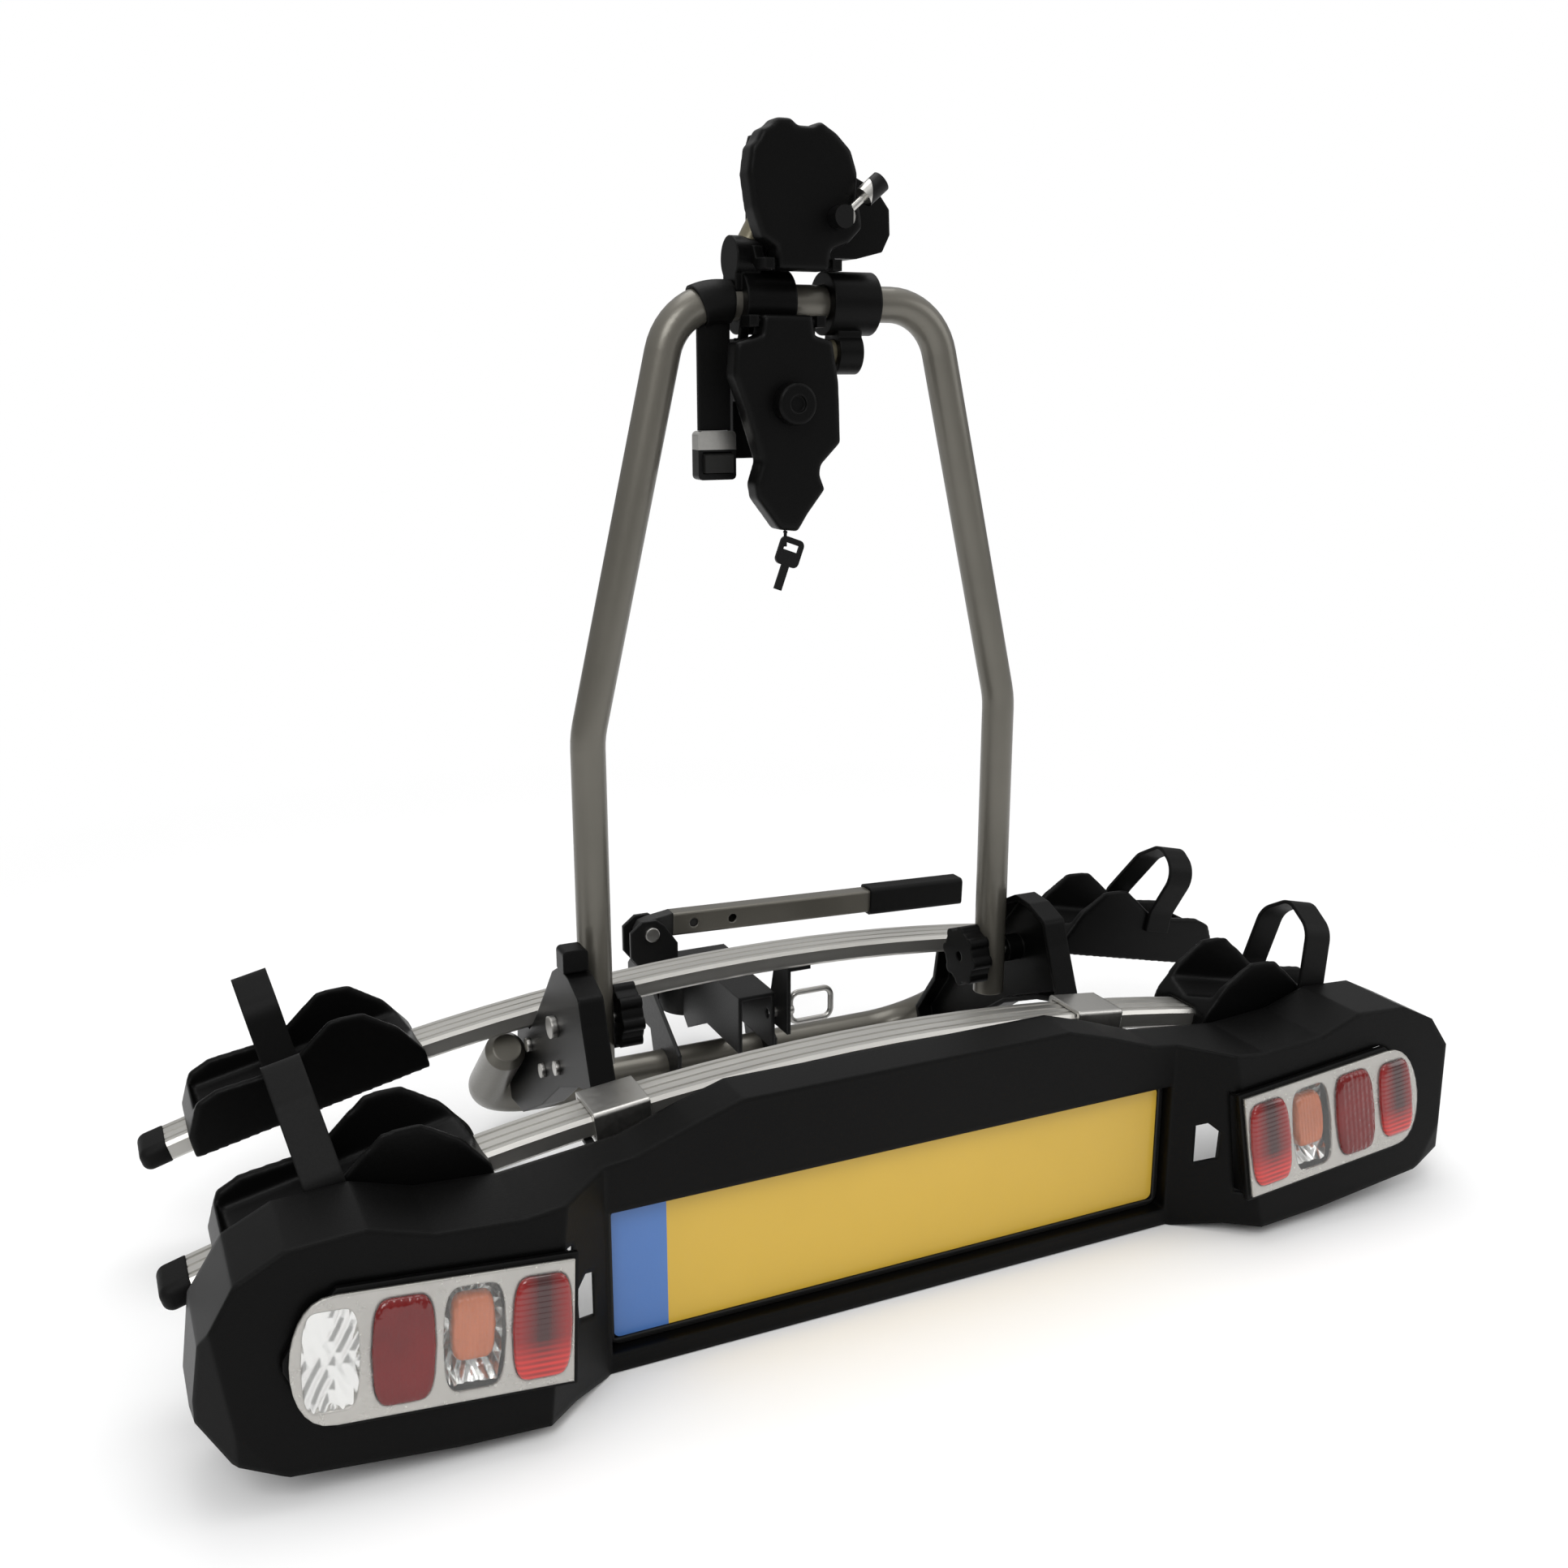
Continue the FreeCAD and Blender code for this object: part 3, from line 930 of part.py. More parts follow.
def make_clamp_knobs():
    """A crank handle that tightens the upper jaw, a round knob on the lower one and the key under it."""
    x = "upper_x + 28"
    z = "upper_z - 27"
    boss = rod("crank_boss", "9", "14", (x, "jaw_face_y - fit_gap", z), (0, -1, 0))
    bar = rod("crank_bar", "3", "34", (x, "jaw_face_y - 9", z), (0.77, 0, 0.64))
    end_x = f"{x} + 0.77 * 24"
    end_z = f"{z} + 0.64 * 24"
    end = rod("crank_grip", "8.5", "20", (end_x, "jaw_face_y - 9.5", end_z), (0.77, 0, 0.64))
    keep(fuse("upper_crank", [boss, bar, end]), "upper_crank")
    knob = new_body("lower_knob")
    centre = ("lower_x + 2", "lower_z - 16")
    disc(knob, "XZ", [centre], "17", "-jaw_face_y + fit_gap", "13")
    round_off(knob, "3", lambda edge: edge.BoundBox.YMax < val("jaw_face_y") - 8)
    disc(knob, "XZ", [centre], "7", "-jaw_face_y + 10", "6", cut=True)
    y = val("jaw_face_y + jaw_thick / 2")
    top = Vector(val("lower_x + 1"), y, val("lower_z - 119 - fit_gap - 1.4"))
    wire = bent_tube([top, top - Vector(0, 0, 12)], [], 1.4, 0)
    pivot = Part.makeCylinder(1.4, 2.8, top - Vector(0, 1.4, 0), ALONG_Y)
    bow = Part.makeBox(22, 3, 24, Vector(-11, -1.5, -30))
    bow = bow.makeFillet(5, [edge for edge in bow.Edges if runs_along(edge, ALONG_Y)])
    slot = Part.makeBox(14, 5, 6, Vector(-7, -2.5, -17))
    key = bow.cut(slot).fuse(Part.makeBox(7, 2.4, 22, Vector(-3.5, -1.2, -51)))
    key.rotate(Vector(0, 0, 0), Vector(0, 1, 0), 20)
    key.translate(top + Vector(10, 0, 0))
    shaped("key", key.fuse([wire, pivot]))


def make_bow_strap():
    """Webbing strap looped over the top bar, with its cam buckle."""
    y = val("bow_y")
    z = val("top_z")
    inner = val("bow_dia / 2 + fit_gap")
    thick = val("webbing_thick")
    left = val("webbing_x - webbing / 2")
    right = val("webbing_x + webbing / 2")
    bend = val("top_bend")
    lean = math.atan2(val("bow_half - top_half"), val("top_z - knee_z"))
    bend_x = bend * math.tan((math.pi / 2 - lean) / 2) - val("top_half")

    def bar_line(start, degrees):
        """The bar's middle line from a place on its straight run into its left corner."""
        corner = Vector(bend_x, y, z)
        centre = corner - Vector(0, 0, bend)
        mid, end = [centre + Vector(-bend * math.sin(a), 0, bend * math.cos(a))
                    for a in (math.radians(degrees / 2), math.radians(degrees))]
        straight = Part.LineSegment(Vector(start, y, z), corner).toShape()
        return Part.Wire([straight, Part.Arc(corner, mid, end).toShape()])

    wrap_angle = math.degrees(math.asin((bend_x - left) / bend))
    bore = swept(bar_line(right + 20, wrap_angle + 20), inner)
    sleeve = swept(bar_line(right, wrap_angle), inner + thick)
    low = val("webbing_low")
    tails = Part.makeBox(right - left, 2 * thick, z - low - inner / 2, Vector(left, y - thick, low))
    shaped("bow_strap", sleeve.fuse(tails).cut(bore).removeSplitter())
    frame = new_body("strap_buckle")
    high = "webbing_low - fit_gap"
    across = "buckle_wide / 2"
    slab(frame, "XZ", box_corners(f"webbing_x - {across}", f"webbing_x + {across}", f"{high} - buckle_tall", high),
         "-bow_y - 7", "14")
    round_off(frame, "4", lambda edge: runs_along(edge, ALONG_Y))
    slab(frame, "XZ", box_corners(f"webbing_x - {across} + 4", f"webbing_x + {across} - 4", f"{high} - buckle_tall + 5",
                                  f"{high} - 17"), "-bow_y - 2", "20", cut=True)
    cam = new_body("buckle_cam")
    tongue = [("bow_y - 12", f"{high} - 19.5"), ("bow_y - 4", f"{high} - 18"), ("bow_y - 4", f"{high} - 28"),
              ("bow_y - 7", f"{high} - buckle_tall + 6"), ("bow_y - 12", f"{high} - buckle_tall + 6")]
    start = f"webbing_x - {across} + 4 + fit_gap"
    slab(cam, "YZ", tongue, start, "buckle_wide - 8 - 2 * fit_gap")
    disc(cam, "YZ", [("bow_y - 4", f"{high} - 23")], "5", start, "buckle_wide - 8 - 2 * fit_gap")


def make_small_parts():
    """Screws of the hinge brackets, brackets behind the light board and the catch on the left bracket."""
    screws = []
    outer = "bow_half + bow_dia / 2 + bracket_gap + bracket_wide"
    spots = (("bow_y - 5", "fold_z - 37"), ("front_y - 20", "rail_z - 40"), ("bow_y + 42", "60"))
    for name, side in SIDES:
        for index, (y, z) in enumerate(spots):
            screws.append(rod(f"screw_{name}_{index}", "6.5", "4", (f"{side} * ({outer} + fit_gap / 3)", y, z), (side, 0, 0)))
    keep(group("bracket_screws", screws), "bracket_screws")
    brackets = []
    for name, side in SIDES:
        body = doc.addObject("PartDesign::Body", f"board_bracket_{name}")
        under = "-rail_tall / 2 - fit_gap"
        reach = "board_face - rear_y + board_wall + fit_gap"
        shape = [("-rail_wide / 2", under), ("8", under), ("8", f"{under} - 4"), ("-rail_wide / 2", f"{under} - 4"),
                 (f"{reach} + 12", "-34"), (reach, "-34"), (reach, "-24"), ("-rail_wide / 2 - 14", "-14")]
        slab(body, "YZ", [(f"{side} * ({u})", w) for u, w in shape], "-board_bracket_wide / 2",
             "board_bracket_wide")
        beside = f"{CLAMP_X} + clamp_long / 2 + board_bracket_off + board_bracket_wide / 2"
        body.Placement = arch(val(f"asin(({beside}) / rail_arc)"), "rear_y", side)
        brackets.append(body)
    keep(group("board_brackets", brackets), "board_brackets")
    catch = new_body("bracket_catch")
    x = "-bow_half - bow_dia / 2 - bracket_gap - bracket_wide"
    slab(catch, "XZ", box_corners(f"{x} - 2", f"{x} + 20", "fold_z + 62 + fit_gap", "fold_z + 82"), "-bow_y + 18", "20")
    round_off(catch, "4", lambda edge: runs_along(edge, ALONG_Y) and edge.Vertexes[0].Z > val("fold_z + 70"))


def make_all():
    make_coupling_housing()
    make_ball_parts()
    make_lever_bracket()
    make_lever()
    make_base_tube()
    make_bow()
    for name, side in SIDES:
        make_hinge_bracket(name, side)
    make_fold_bolts()
    make_rails()
    make_rail_clamps()
    make_tilt_latch()
    make_light_board()
    make_plate()
    make_lamps()
    make_trays()
    make_collars()
    make_frame_clamps()
    make_clamp_knobs()
    make_bow_strap()
    make_small_parts()


def write_parts():
    """Check every object of the document, then write each sub-part."""
    doc.recompute()
    for item in doc.Objects:
        faults = {"Invalid", "Error"} & set(item.State)
        if faults:
            raise RuntimeError(f"{item.Name} is {faults}")
    for item in pieces:
        if item.Shape.isNull() or not item.Shape.isValid():
            raise RuntimeError(f"{item.Label} has no valid shape")
        item.Shape.exportStep(f"parts/{item.Label}.step")
        print(item.Label, len(item.Shape.Solids), round(item.Shape.Volume))


make_all()
write_parts()
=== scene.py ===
"""Finishes, lamp fronts, softened mouldings and stage of the tow ball bike rack.

Lengths are in metres and angles in degrees.
"""
import json
import math

import bmesh
import bpy
from mathutils import Matrix, Vector


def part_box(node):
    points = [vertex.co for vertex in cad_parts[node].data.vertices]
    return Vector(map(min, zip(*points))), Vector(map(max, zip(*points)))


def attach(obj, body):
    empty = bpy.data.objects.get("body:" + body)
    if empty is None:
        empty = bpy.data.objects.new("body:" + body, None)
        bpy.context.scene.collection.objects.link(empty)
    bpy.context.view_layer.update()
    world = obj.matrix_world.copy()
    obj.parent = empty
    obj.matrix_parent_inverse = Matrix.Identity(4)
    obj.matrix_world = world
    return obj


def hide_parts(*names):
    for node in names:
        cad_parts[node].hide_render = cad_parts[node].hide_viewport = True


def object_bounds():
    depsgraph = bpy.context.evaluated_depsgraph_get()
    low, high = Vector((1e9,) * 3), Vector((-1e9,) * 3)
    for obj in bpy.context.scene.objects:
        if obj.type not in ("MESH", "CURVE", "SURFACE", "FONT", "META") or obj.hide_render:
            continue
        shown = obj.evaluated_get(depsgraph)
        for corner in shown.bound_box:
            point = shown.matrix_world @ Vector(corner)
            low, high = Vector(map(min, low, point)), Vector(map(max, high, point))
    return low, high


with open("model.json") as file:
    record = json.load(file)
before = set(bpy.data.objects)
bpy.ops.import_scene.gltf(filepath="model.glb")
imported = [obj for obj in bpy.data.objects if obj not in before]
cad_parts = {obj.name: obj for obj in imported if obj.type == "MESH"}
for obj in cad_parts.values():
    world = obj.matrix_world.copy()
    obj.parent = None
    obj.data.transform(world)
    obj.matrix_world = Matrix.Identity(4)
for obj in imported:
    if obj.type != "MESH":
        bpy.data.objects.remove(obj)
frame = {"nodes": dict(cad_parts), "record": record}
cad_box = [list(corner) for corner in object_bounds()]
NODES = frame["nodes"]
BODIES = frame["record"]["behaviour"]["bodies"]
BODY_OF = {node: body for body, nodes in BODIES.items() for node in nodes}
scene = bpy.context.scene

SHOWN = {}  # pieces made here, shaded together with the CAD nodes
FACETED = []  # those of them that keep their flat facets

PLATE_BAND = 0.046  # width of the plate's blue end
SMOOTH_BELOW = 32  # degrees between faces that still shade as one surface

# Lamp fronts, drawn upright around each lamp's middle with the face to -Y
SIDES = {"left": -1, "right": 1}
LAMP_PLACE = (0.411, -0.5557, 0.013)  # of the right lamp; the left one is mirrored
LAMP_LEAN = -7.4
LAMP_ROLL = -4.8
LAMP_HALF = 0.1
LAMP_TOP = 0.046
ROUND_FROM = 0.068  # where the outer end starts to curve
CELLS = (-0.076, -0.027, 0.023, 0.074)  # middles of the four cells, inner cell first
END_CELL = 0.0725  # middle of the narrower outer cell's own shapes
WINDOW = (0.0228, 0.039)  # half width and half height
END_WINDOW = (0.0198, 0.036)
RED_CELLS = {"left": (0, 2), "right": (0, 2, 3)}
RIBBED_CELLS = {("left", 0), ("right", 0), ("right", 3)}
# painted reflection: bright red painted along the lower edge of the ribbed red cells
LOW_PAINTED_REFLECTION = (0.62, 0.02, 0.015)
FRAME_DEPTHS = (-0.0092, -0.0062)
COVER_DEPTHS = (-0.0105, -0.0094)
COVER_INSET = 0.0004
RED_FRONT, RED_RISE = -0.0104, 0.0034
RED_SHAPE = (0.0222, 0.0385)  # half width and half height, as in the shapes below
RED_END_SHAPE = (0.0193, 0.0355)
BOWL = (0.0238, 0.0405, -0.0038, 0.021)  # and depth of the rim and of the bottom
END_BOWL = (0.0215, 0.0385, -0.0080, -0.0072)
AMBER_SHAPE = (CELLS[1], 0.0165, 0.025, 0.004, 0.008)  # middle, half width, half height, front, rise
AMBER_SHIFT = (0, -0.004, 0.006)

# Camera that matches the photo's angle
CAMERA_PLACE = (-0.59857, -1.54910, 0.67314)
CAMERA_PITCH = 14.62
CAMERA_YAW = 24.83
CAMERA_LENS = 36.26

FLOOR_HALF = 9
FLOOR_DROP = 0.001
FLOOR_FADE = (0.7, 1.5)  # distances from the origin over which the floor turns plain white
WORLD_SPAN = (-0.1, 0.9, 0.2, 0.85)  # sky light: from height, to height, low strength, high strength


class Nodes:
    """A small builder for a procedural material around one Principled shader."""

    def __init__(self, name):
        self.material = bpy.data.materials.new(name)
        self.material.use_nodes = True
        self.tree = self.material.node_tree
        self.shader = self.tree.nodes["Principled BSDF"]
        self.coords = self.add("ShaderNodeTexCoord")

    def add(self, kind, **settings):
        node = self.tree.nodes.new(kind)
        for key, value in settings.items():
            setattr(node, key, value)
        return node

    def link(self, source, target):
        self.tree.links.new(source, target)

    def scaled(self, scale):
        mapping = self.add("ShaderNodeMapping")
        mapping.inputs["Scale"].default_value = scale
        self.link(self.coords.outputs["Object"], mapping.inputs["Vector"])
        return mapping.outputs["Vector"]

    def noise(self, scale, detail=4, stretch=(1, 1, 1), rough=0.55):
        node = self.add("ShaderNodeTexNoise")
        node.inputs["Scale"].default_value = scale
        node.inputs["Detail"].default_value = detail
        node.inputs["Roughness"].default_value = rough
        self.link(self.scaled(stretch), node.inputs["Vector"])
        return node.outputs["Fac"]

    def ramp(self, source, stops):
        node = self.add("ShaderNodeValToRGB")
        ramp = node.color_ramp
        while len(ramp.elements) < len(stops):
            ramp.elements.new(0.5)
        for element, (place, colour) in zip(ramp.elements, stops):
            element.position = place
            element.color = colour if len(colour) == 4 else (*colour, 1)
        self.link(source, node.inputs["Fac"])
        return node.outputs["Color"]

    def span(self, source, low, high):
        node = self.add("ShaderNodeMapRange")
        node.inputs["To Min"].default_value = low
        node.inputs["To Max"].default_value = high
        self.link(source, node.inputs["Value"])
        return node.outputs["Result"]

    def mix(self, factor, first, second):
        node = self.add("ShaderNodeMix", data_type="RGBA")
        if isinstance(factor, float):
            node.inputs["Factor"].default_value = factor
        else:
            self.link(factor, node.inputs["Factor"])
        for socket, value in ((node.inputs["A"], first), (node.inputs["B"], second)):
            if isinstance(value, tuple):
                socket.default_value = value if len(value) == 4 else (*value, 1)
            else:
                self.link(value, socket)
        return node.outputs["Result"]

    def bump(self, source, strength, distance=0.001):
        node = self.add("ShaderNodeBump")
        node.inputs["Strength"].default_value = strength
        node.inputs["Distance"].default_value = distance
        self.link(source, node.inputs["Height"])
        if self.shader.inputs["Normal"].is_linked:
            self.link(self.shader.inputs["Normal"].links[0].from_socket, node.inputs["Normal"])
        self.link(node.outputs["Normal"], self.shader.inputs["Normal"])

    def set(self, **values):
        for key, value in values.items():
            self.shader.inputs[key.replace("_", " ")].default_value = value


def worn(
    name, dark, light, rough, scale, bump=0.15, metal=0.0, stretch=(1, 1, 1), edge=None, coat=0.0,
    spec=0.5, soft=0.0025,
):
    """A finish with soft colour drift, fine grain in roughness and bump, and brighter rubbed edges."""
    made = Nodes(name)
    made.set(Metallic=metal, Coat_Weight=coat, Specular_IOR_Level=spec)
    drift = made.noise(9, 3)
    grain = made.noise(scale, 5, stretch)
    colour = made.mix(drift, dark, light)
    bevel = made.add("ShaderNodeBevel", samples=6)
    bevel.inputs["Radius"].default_value = soft
    made.link(bevel.outputs["Normal"], made.shader.inputs["Normal"])
    if edge:
        plain = made.add("ShaderNodeNewGeometry")
        dot = made.add("ShaderNodeVectorMath", operation="DOT_PRODUCT")
        made.link(bevel.outputs["Normal"], dot.inputs[0])
        made.link(plain.outputs["Normal"], dot.inputs[1])
        rubbed = made.ramp(dot.outputs["Value"], [(0.78, (1, 1, 1)), (0.985, (0, 0, 0))])
        colour = made.mix(rubbed, colour, edge)
    made.link(colour, made.shader.inputs["Base Color"])
    made.link(made.span(grain, rough[0], rough[1]), made.shader.inputs["Roughness"])
    made.bump(grain, bump, 0.0006)
    return made.material


def make_materials():
    found = {
        "tube": worn(
            "tube_coat", (0.105, 0.099, 0.082), (0.165, 0.155, 0.132), (0.26, 0.42), 420, 0.10, 0.55,
            edge=(0.20, 0.19, 0.17), coat=0.15,
        ),
        "black_steel": worn(
            "black_steel", (0.004, 0.004, 0.004), (0.009, 0.009, 0.0088), (0.32, 0.5), 500, 0.12,
            edge=(0.03, 0.03, 0.03), spec=0.2,
        ),
        "zinc": worn("zinc", (0.42, 0.41, 0.39), (0.62, 0.61, 0.58), (0.25, 0.42), 300, 0.1, 1.0),
        "cast": worn("cast_metal", (0.03, 0.03, 0.03), (0.07, 0.07, 0.068), (0.45, 0.7), 260, 0.35, 0.8),
        "plastic": worn(
            "black_plastic", (0.0012, 0.0012, 0.0012), (0.003, 0.003, 0.0029), (0.28, 0.42), 900, 0.2,
            edge=(0.007, 0.007, 0.0068), spec=0.10,
        ),
        "board": worn(
            "board_plastic", (0.0012, 0.0012, 0.0012), (0.0028, 0.0028, 0.0027), (0.30, 0.44), 1100, 0.3,
            edge=(0.006, 0.006, 0.0058), spec=0.09, soft=0.006,
        ),
        "rubber": worn(
            "black_rubber", (0.002, 0.002, 0.002), (0.005, 0.005, 0.0048), (0.45, 0.65), 700, 0.25,
            spec=0.12,
        ),
        "strap": worn(
            "strap_rubber", (0.0016, 0.0016, 0.0016), (0.004, 0.004, 0.0038), (0.4, 0.58), 600, 0.2,
            spec=0.12,
        ),
        "arm": worn(
            "arm_coat", (0.12, 0.105, 0.065), (0.19, 0.17, 0.115), (0.3, 0.45), 420, 0.10, 0.5, coat=0.1,
        ),
        "chrome": worn("chrome", (0.78, 0.78, 0.77), (0.9, 0.9, 0.88), (0.06, 0.2), 60, 0.3, 1.0),
        "frame": worn("lamp_frame", (0.34, 0.33, 0.31), (0.56, 0.54, 0.50), (0.16, 0.34), 180, 0.3, 0.7),
        "holder": worn("bulb_holder", (0.45, 0.44, 0.40), (0.6, 0.58, 0.54), (0.3, 0.5), 400, 0.1),
    }
    rail = Nodes("rail_metal")
    rail.set(Metallic=0.9, Anisotropic=0.4)
    streaks = rail.noise(260, 4, (0.03, 1, 1))
    cloud = rail.noise(14, 3, (0.3, 1, 1))
    tone = rail.mix(cloud, (0.50, 0.485, 0.455), (0.66, 0.65, 0.615))
    rail.link(tone, rail.shader.inputs["Base Color"])
    rail.link(rail.span(streaks, 0.26, 0.44), rail.shader.inputs["Roughness"])
    rail.bump(streaks, 0.12, 0.0004)
    found["rail"] = rail.material
    return found


MATS = make_materials()


def plate_material():
    """Yellow reflective sheet with a blue end band, both with a fine prismatic grain."""
    made = Nodes("plate_sheet")
    low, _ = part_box("number_plate")
    split = made.add("ShaderNodeSeparateXYZ")
    made.link(made.coords.outputs["Object"], split.inputs["Vector"])
    edge = made.add("ShaderNodeMath", operation="LESS_THAN")
    edge.inputs[1].default_value = low[0] + PLATE_BAND
    made.link(split.outputs["X"], edge.inputs[0])
    drift = made.noise(7, 3)
    yellow = made.mix(drift, (0.60, 0.385, 0.035), (0.68, 0.44, 0.05))
    blue = made.mix(drift, (0.05, 0.15, 0.42), (0.08, 0.20, 0.52))
    made.link(made.mix(edge.outputs["Value"], yellow, blue), made.shader.inputs["Base Color"])
    cells = made.add("ShaderNodeTexVoronoi")
    cells.inputs["Scale"].default_value = 420
    made.link(made.coords.outputs["Object"], cells.inputs["Vector"])
    made.link(made.span(cells.outputs["Distance"], 0.28, 0.42), made.shader.inputs["Roughness"])
    made.bump(cells.outputs["Distance"], 0.08, 0.0003)
    made.set(Coat_Weight=0.25)
    return made.material


def zoned(name, axis, edge, low, high, band=None):
    """Two finishes on one piece, each a colour, roughness and metallic, parted at edge along an axis.

    With a band, the second finish reaches only that far to both sides of the edge.
    """
    made = Nodes(name)
    split = made.add("ShaderNodeSeparateXYZ")
    made.link(made.coords.outputs["Object"], split.inputs["Vector"])
    above = made.add("ShaderNodeMath", operation="COMPARE" if band else "GREATER_THAN")
    above.inputs[1].default_value = edge
    above.inputs[2].default_value = band or 0.0
    made.link(split.outputs[axis], above.inputs[0])
    grain = made.noise(300, 4)
    tones = []
    for colour, _, _ in (low, high):
        tones.append(made.mix(grain, tuple(part * 0.8 for part in colour), colour))
    made.link(made.mix(above.outputs["Value"], *tones), made.shader.inputs["Base Color"])
    made.link(made.span(above.outputs["Value"], low[1], high[1]), made.shader.inputs["Roughness"])
    made.link(made.span(above.outputs["Value"], low[2], high[2]), made.shader.inputs["Metallic"])
    made.bump(grain, 0.1, 0.0004)
    made.set(Specular_IOR_Level=0.2)
    return made.material


def lens_material(name, colour, rib, alpha=None, rough=0.08):
    """Moulded lens with fluting on its inside, seen as fine vertical ribs and small prisms."""
    made = Nodes(name)
    wave = made.add("ShaderNodeTexWave", wave_type="BANDS", bands_direction="X")
    wave.inputs["Scale"].default_value = rib
    wave.inputs["Distortion"].default_value = 0.0
    made.link(made.coords.outputs["Object"], wave.inputs["Vector"])
    prisms = made.add("ShaderNodeTexVoronoi")
    prisms.inputs["Scale"].default_value = 210
    made.link(made.coords.outputs["Object"], prisms.inputs["Vector"])
    drift = made.noise(26, 2)
    dark = tuple(part * 0.45 for part in colour)
    made.link(made.mix(made.span(drift, 0.0, 1.0), dark, colour), made.shader.inputs["Base Color"])
    made.bump(wave.outputs["Fac"], 0.35, 0.0012)
    made.bump(prisms.outputs["Distance"], 0.4, 0.0012)
    made.set(Roughness=rough, Coat_Weight=0.3)
    if alpha is not None:
        made.set(Alpha=alpha)
    return made.material


def dress(names, material):
    for name in names:
        piece = NODES[name]
        piece.data.materials.clear()
        piece.data.materials.append(material)


def dress_all():
    groups = {
        "tube": ["bow_tube", "base_tube", "lever_tube"],
        "black_steel": [
            "coupling_housing", "lever_bracket", "latch_keeper", "board_brackets", "plate_surround",
        ],
        "zinc": [
            "lever_pin", "fold_bolt_left", "fold_bolt_right", "latch_handle", "bracket_screws",
            "rail_clamp_left", "rail_clamp_right",
        ],
        "arm": ["upper_arm_tube", "lower_arm_tube"],
        "rail": ["rail_rear", "rail_front"],
        "cast": ["ball_cup", "ball_jaw", "lever_cam"],
        "rubber": ["lever_grip", "caps_rear", "caps_front"],
        "strap": [name for name in NODES if name.startswith("wheel_strap")] + ["bow_strap"],
        "board": ["light_board"],
        "holder": ["lamp_bulbs_left", "lamp_bulbs_right"],
    }
    seen = {name for names in groups.values() for name in names}
    groups["plastic"] = [name for name in NODES if name not in seen]
    for key, names in groups.items():
        dress(names, MATS[key])
    dress(["number_plate"], plate_material())
    clear = lens_material("lens_clear", (0.92, 0.92, 0.9), 60, alpha=0.08)
    red = lens_material("lens_red", (0.19, 0.002, 0.002), 60)
    for side in SIDES:
        dress([f"lamp_lens_{side}"], clear)
        dress([f"lamp_red_{side}"], red)
    black = ((0.003, 0.003, 0.003), 0.4, 0.0)
    silver = ((0.62, 0.61, 0.58), 0.28, 1.0)
    low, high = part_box("strap_buckle")
    silver_from = high.z - 0.38 * (high.z - low.z)
    dress(["strap_buckle"], zoned("buckle_body", "Z", silver_from, black, silver))
    dark_metal = ((0.02, 0.02, 0.019), 0.4, 0.2)
    dress(["buckle_cam"], zoned("buckle_cam", "Z", high.z, dark_metal, silver))
    low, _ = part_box("key")
    shell = ((0.006, 0.006, 0.006), 0.35, 0.2)
    dress(["key"], zoned("key_shell", "Z", low.z, black, shell))
    _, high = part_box("upper_crank")
    bare_rod = high.x - 0.0245
    dress(["upper_crank"], zoned("crank_shell", "X", bare_rod, black, silver, band=0.0075))


def soft_copy(name, width, segments, angle=24):
    """A copy of a CAD piece with edges sharper than angle rounded by width, shown in its place."""
    source = NODES[name]
    mesh = source.data.copy()
    work = bmesh.new()
    work.from_mesh(mesh)
    bmesh.ops.remove_doubles(work, verts=work.verts, dist=0.0001)
    sharp = [
        edge for edge in work.edges
        if len(edge.link_faces) == 2 and edge.calc_face_angle(0) > math.radians(angle)
    ]
    bmesh.ops.bevel(
        work, geom=sharp, offset=width, offset_type="OFFSET", segments=segments, profile=0.5,
        affect="EDGES", clamp_overlap=True,
    )
    work.to_mesh(mesh)
    work.free()
    piece = bpy.data.objects.new(f"{name}_soft", mesh)
    piece.matrix_world = source.matrix_world
    scene.collection.objects.link(piece)
    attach(piece, BODY_OF[name])
    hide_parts(name)
    SHOWN[name] = piece


def soften_all():
    for name in ("upper_jaw", "lower_jaw"):
        soft_remesh(name, cell=0.0014, rounds=16, keep=0.4)
    for name in ("tray_rear_left", "tray_rear_right", "tray_front_left", "tray_front_right"):
        soft_remesh(name, cell=0.002, rounds=10, keep=0.4)
    for name in ("caps_rear", "caps_front"):
        soft_copy(name, width=0.0012, segments=2)


def soft_remesh(name, cell, rounds, keep):
    """A copy of a CAD piece remeshed, smoothed and thinned to look moulded, shown in its place."""
    source = NODES[name]
    piece = bpy.data.objects.new(f"{name}_soft", source.data.copy())
    piece.matrix_world = source.matrix_world
    scene.collection.objects.link(piece)
    grid = piece.modifiers.new("grid", "REMESH")
    grid.mode = "VOXEL"
    grid.voxel_size = cell
    grid.use_smooth_shade = True
    melt = piece.modifiers.new("melt", "SMOOTH")
    melt.factor = 0.5
    melt.iterations = rounds
    thin = piece.modifiers.new("thin", "DECIMATE")
    thin.ratio = keep
    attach(piece, BODY_OF[name])
    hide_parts(name)
    SHOWN[name] = piece


def lamp_frame(sign):
    """Placement of a lamp drawn upright with its face to -Y."""
    x, y, z = LAMP_PLACE
    lean = Matrix.Rotation(math.radians(LAMP_LEAN), 4, "X")
    roll = Matrix.Rotation(math.radians(LAMP_ROLL * sign), 4, "Y")
    return Matrix.Translation((sign * x, y, z)) @ lean @ roll


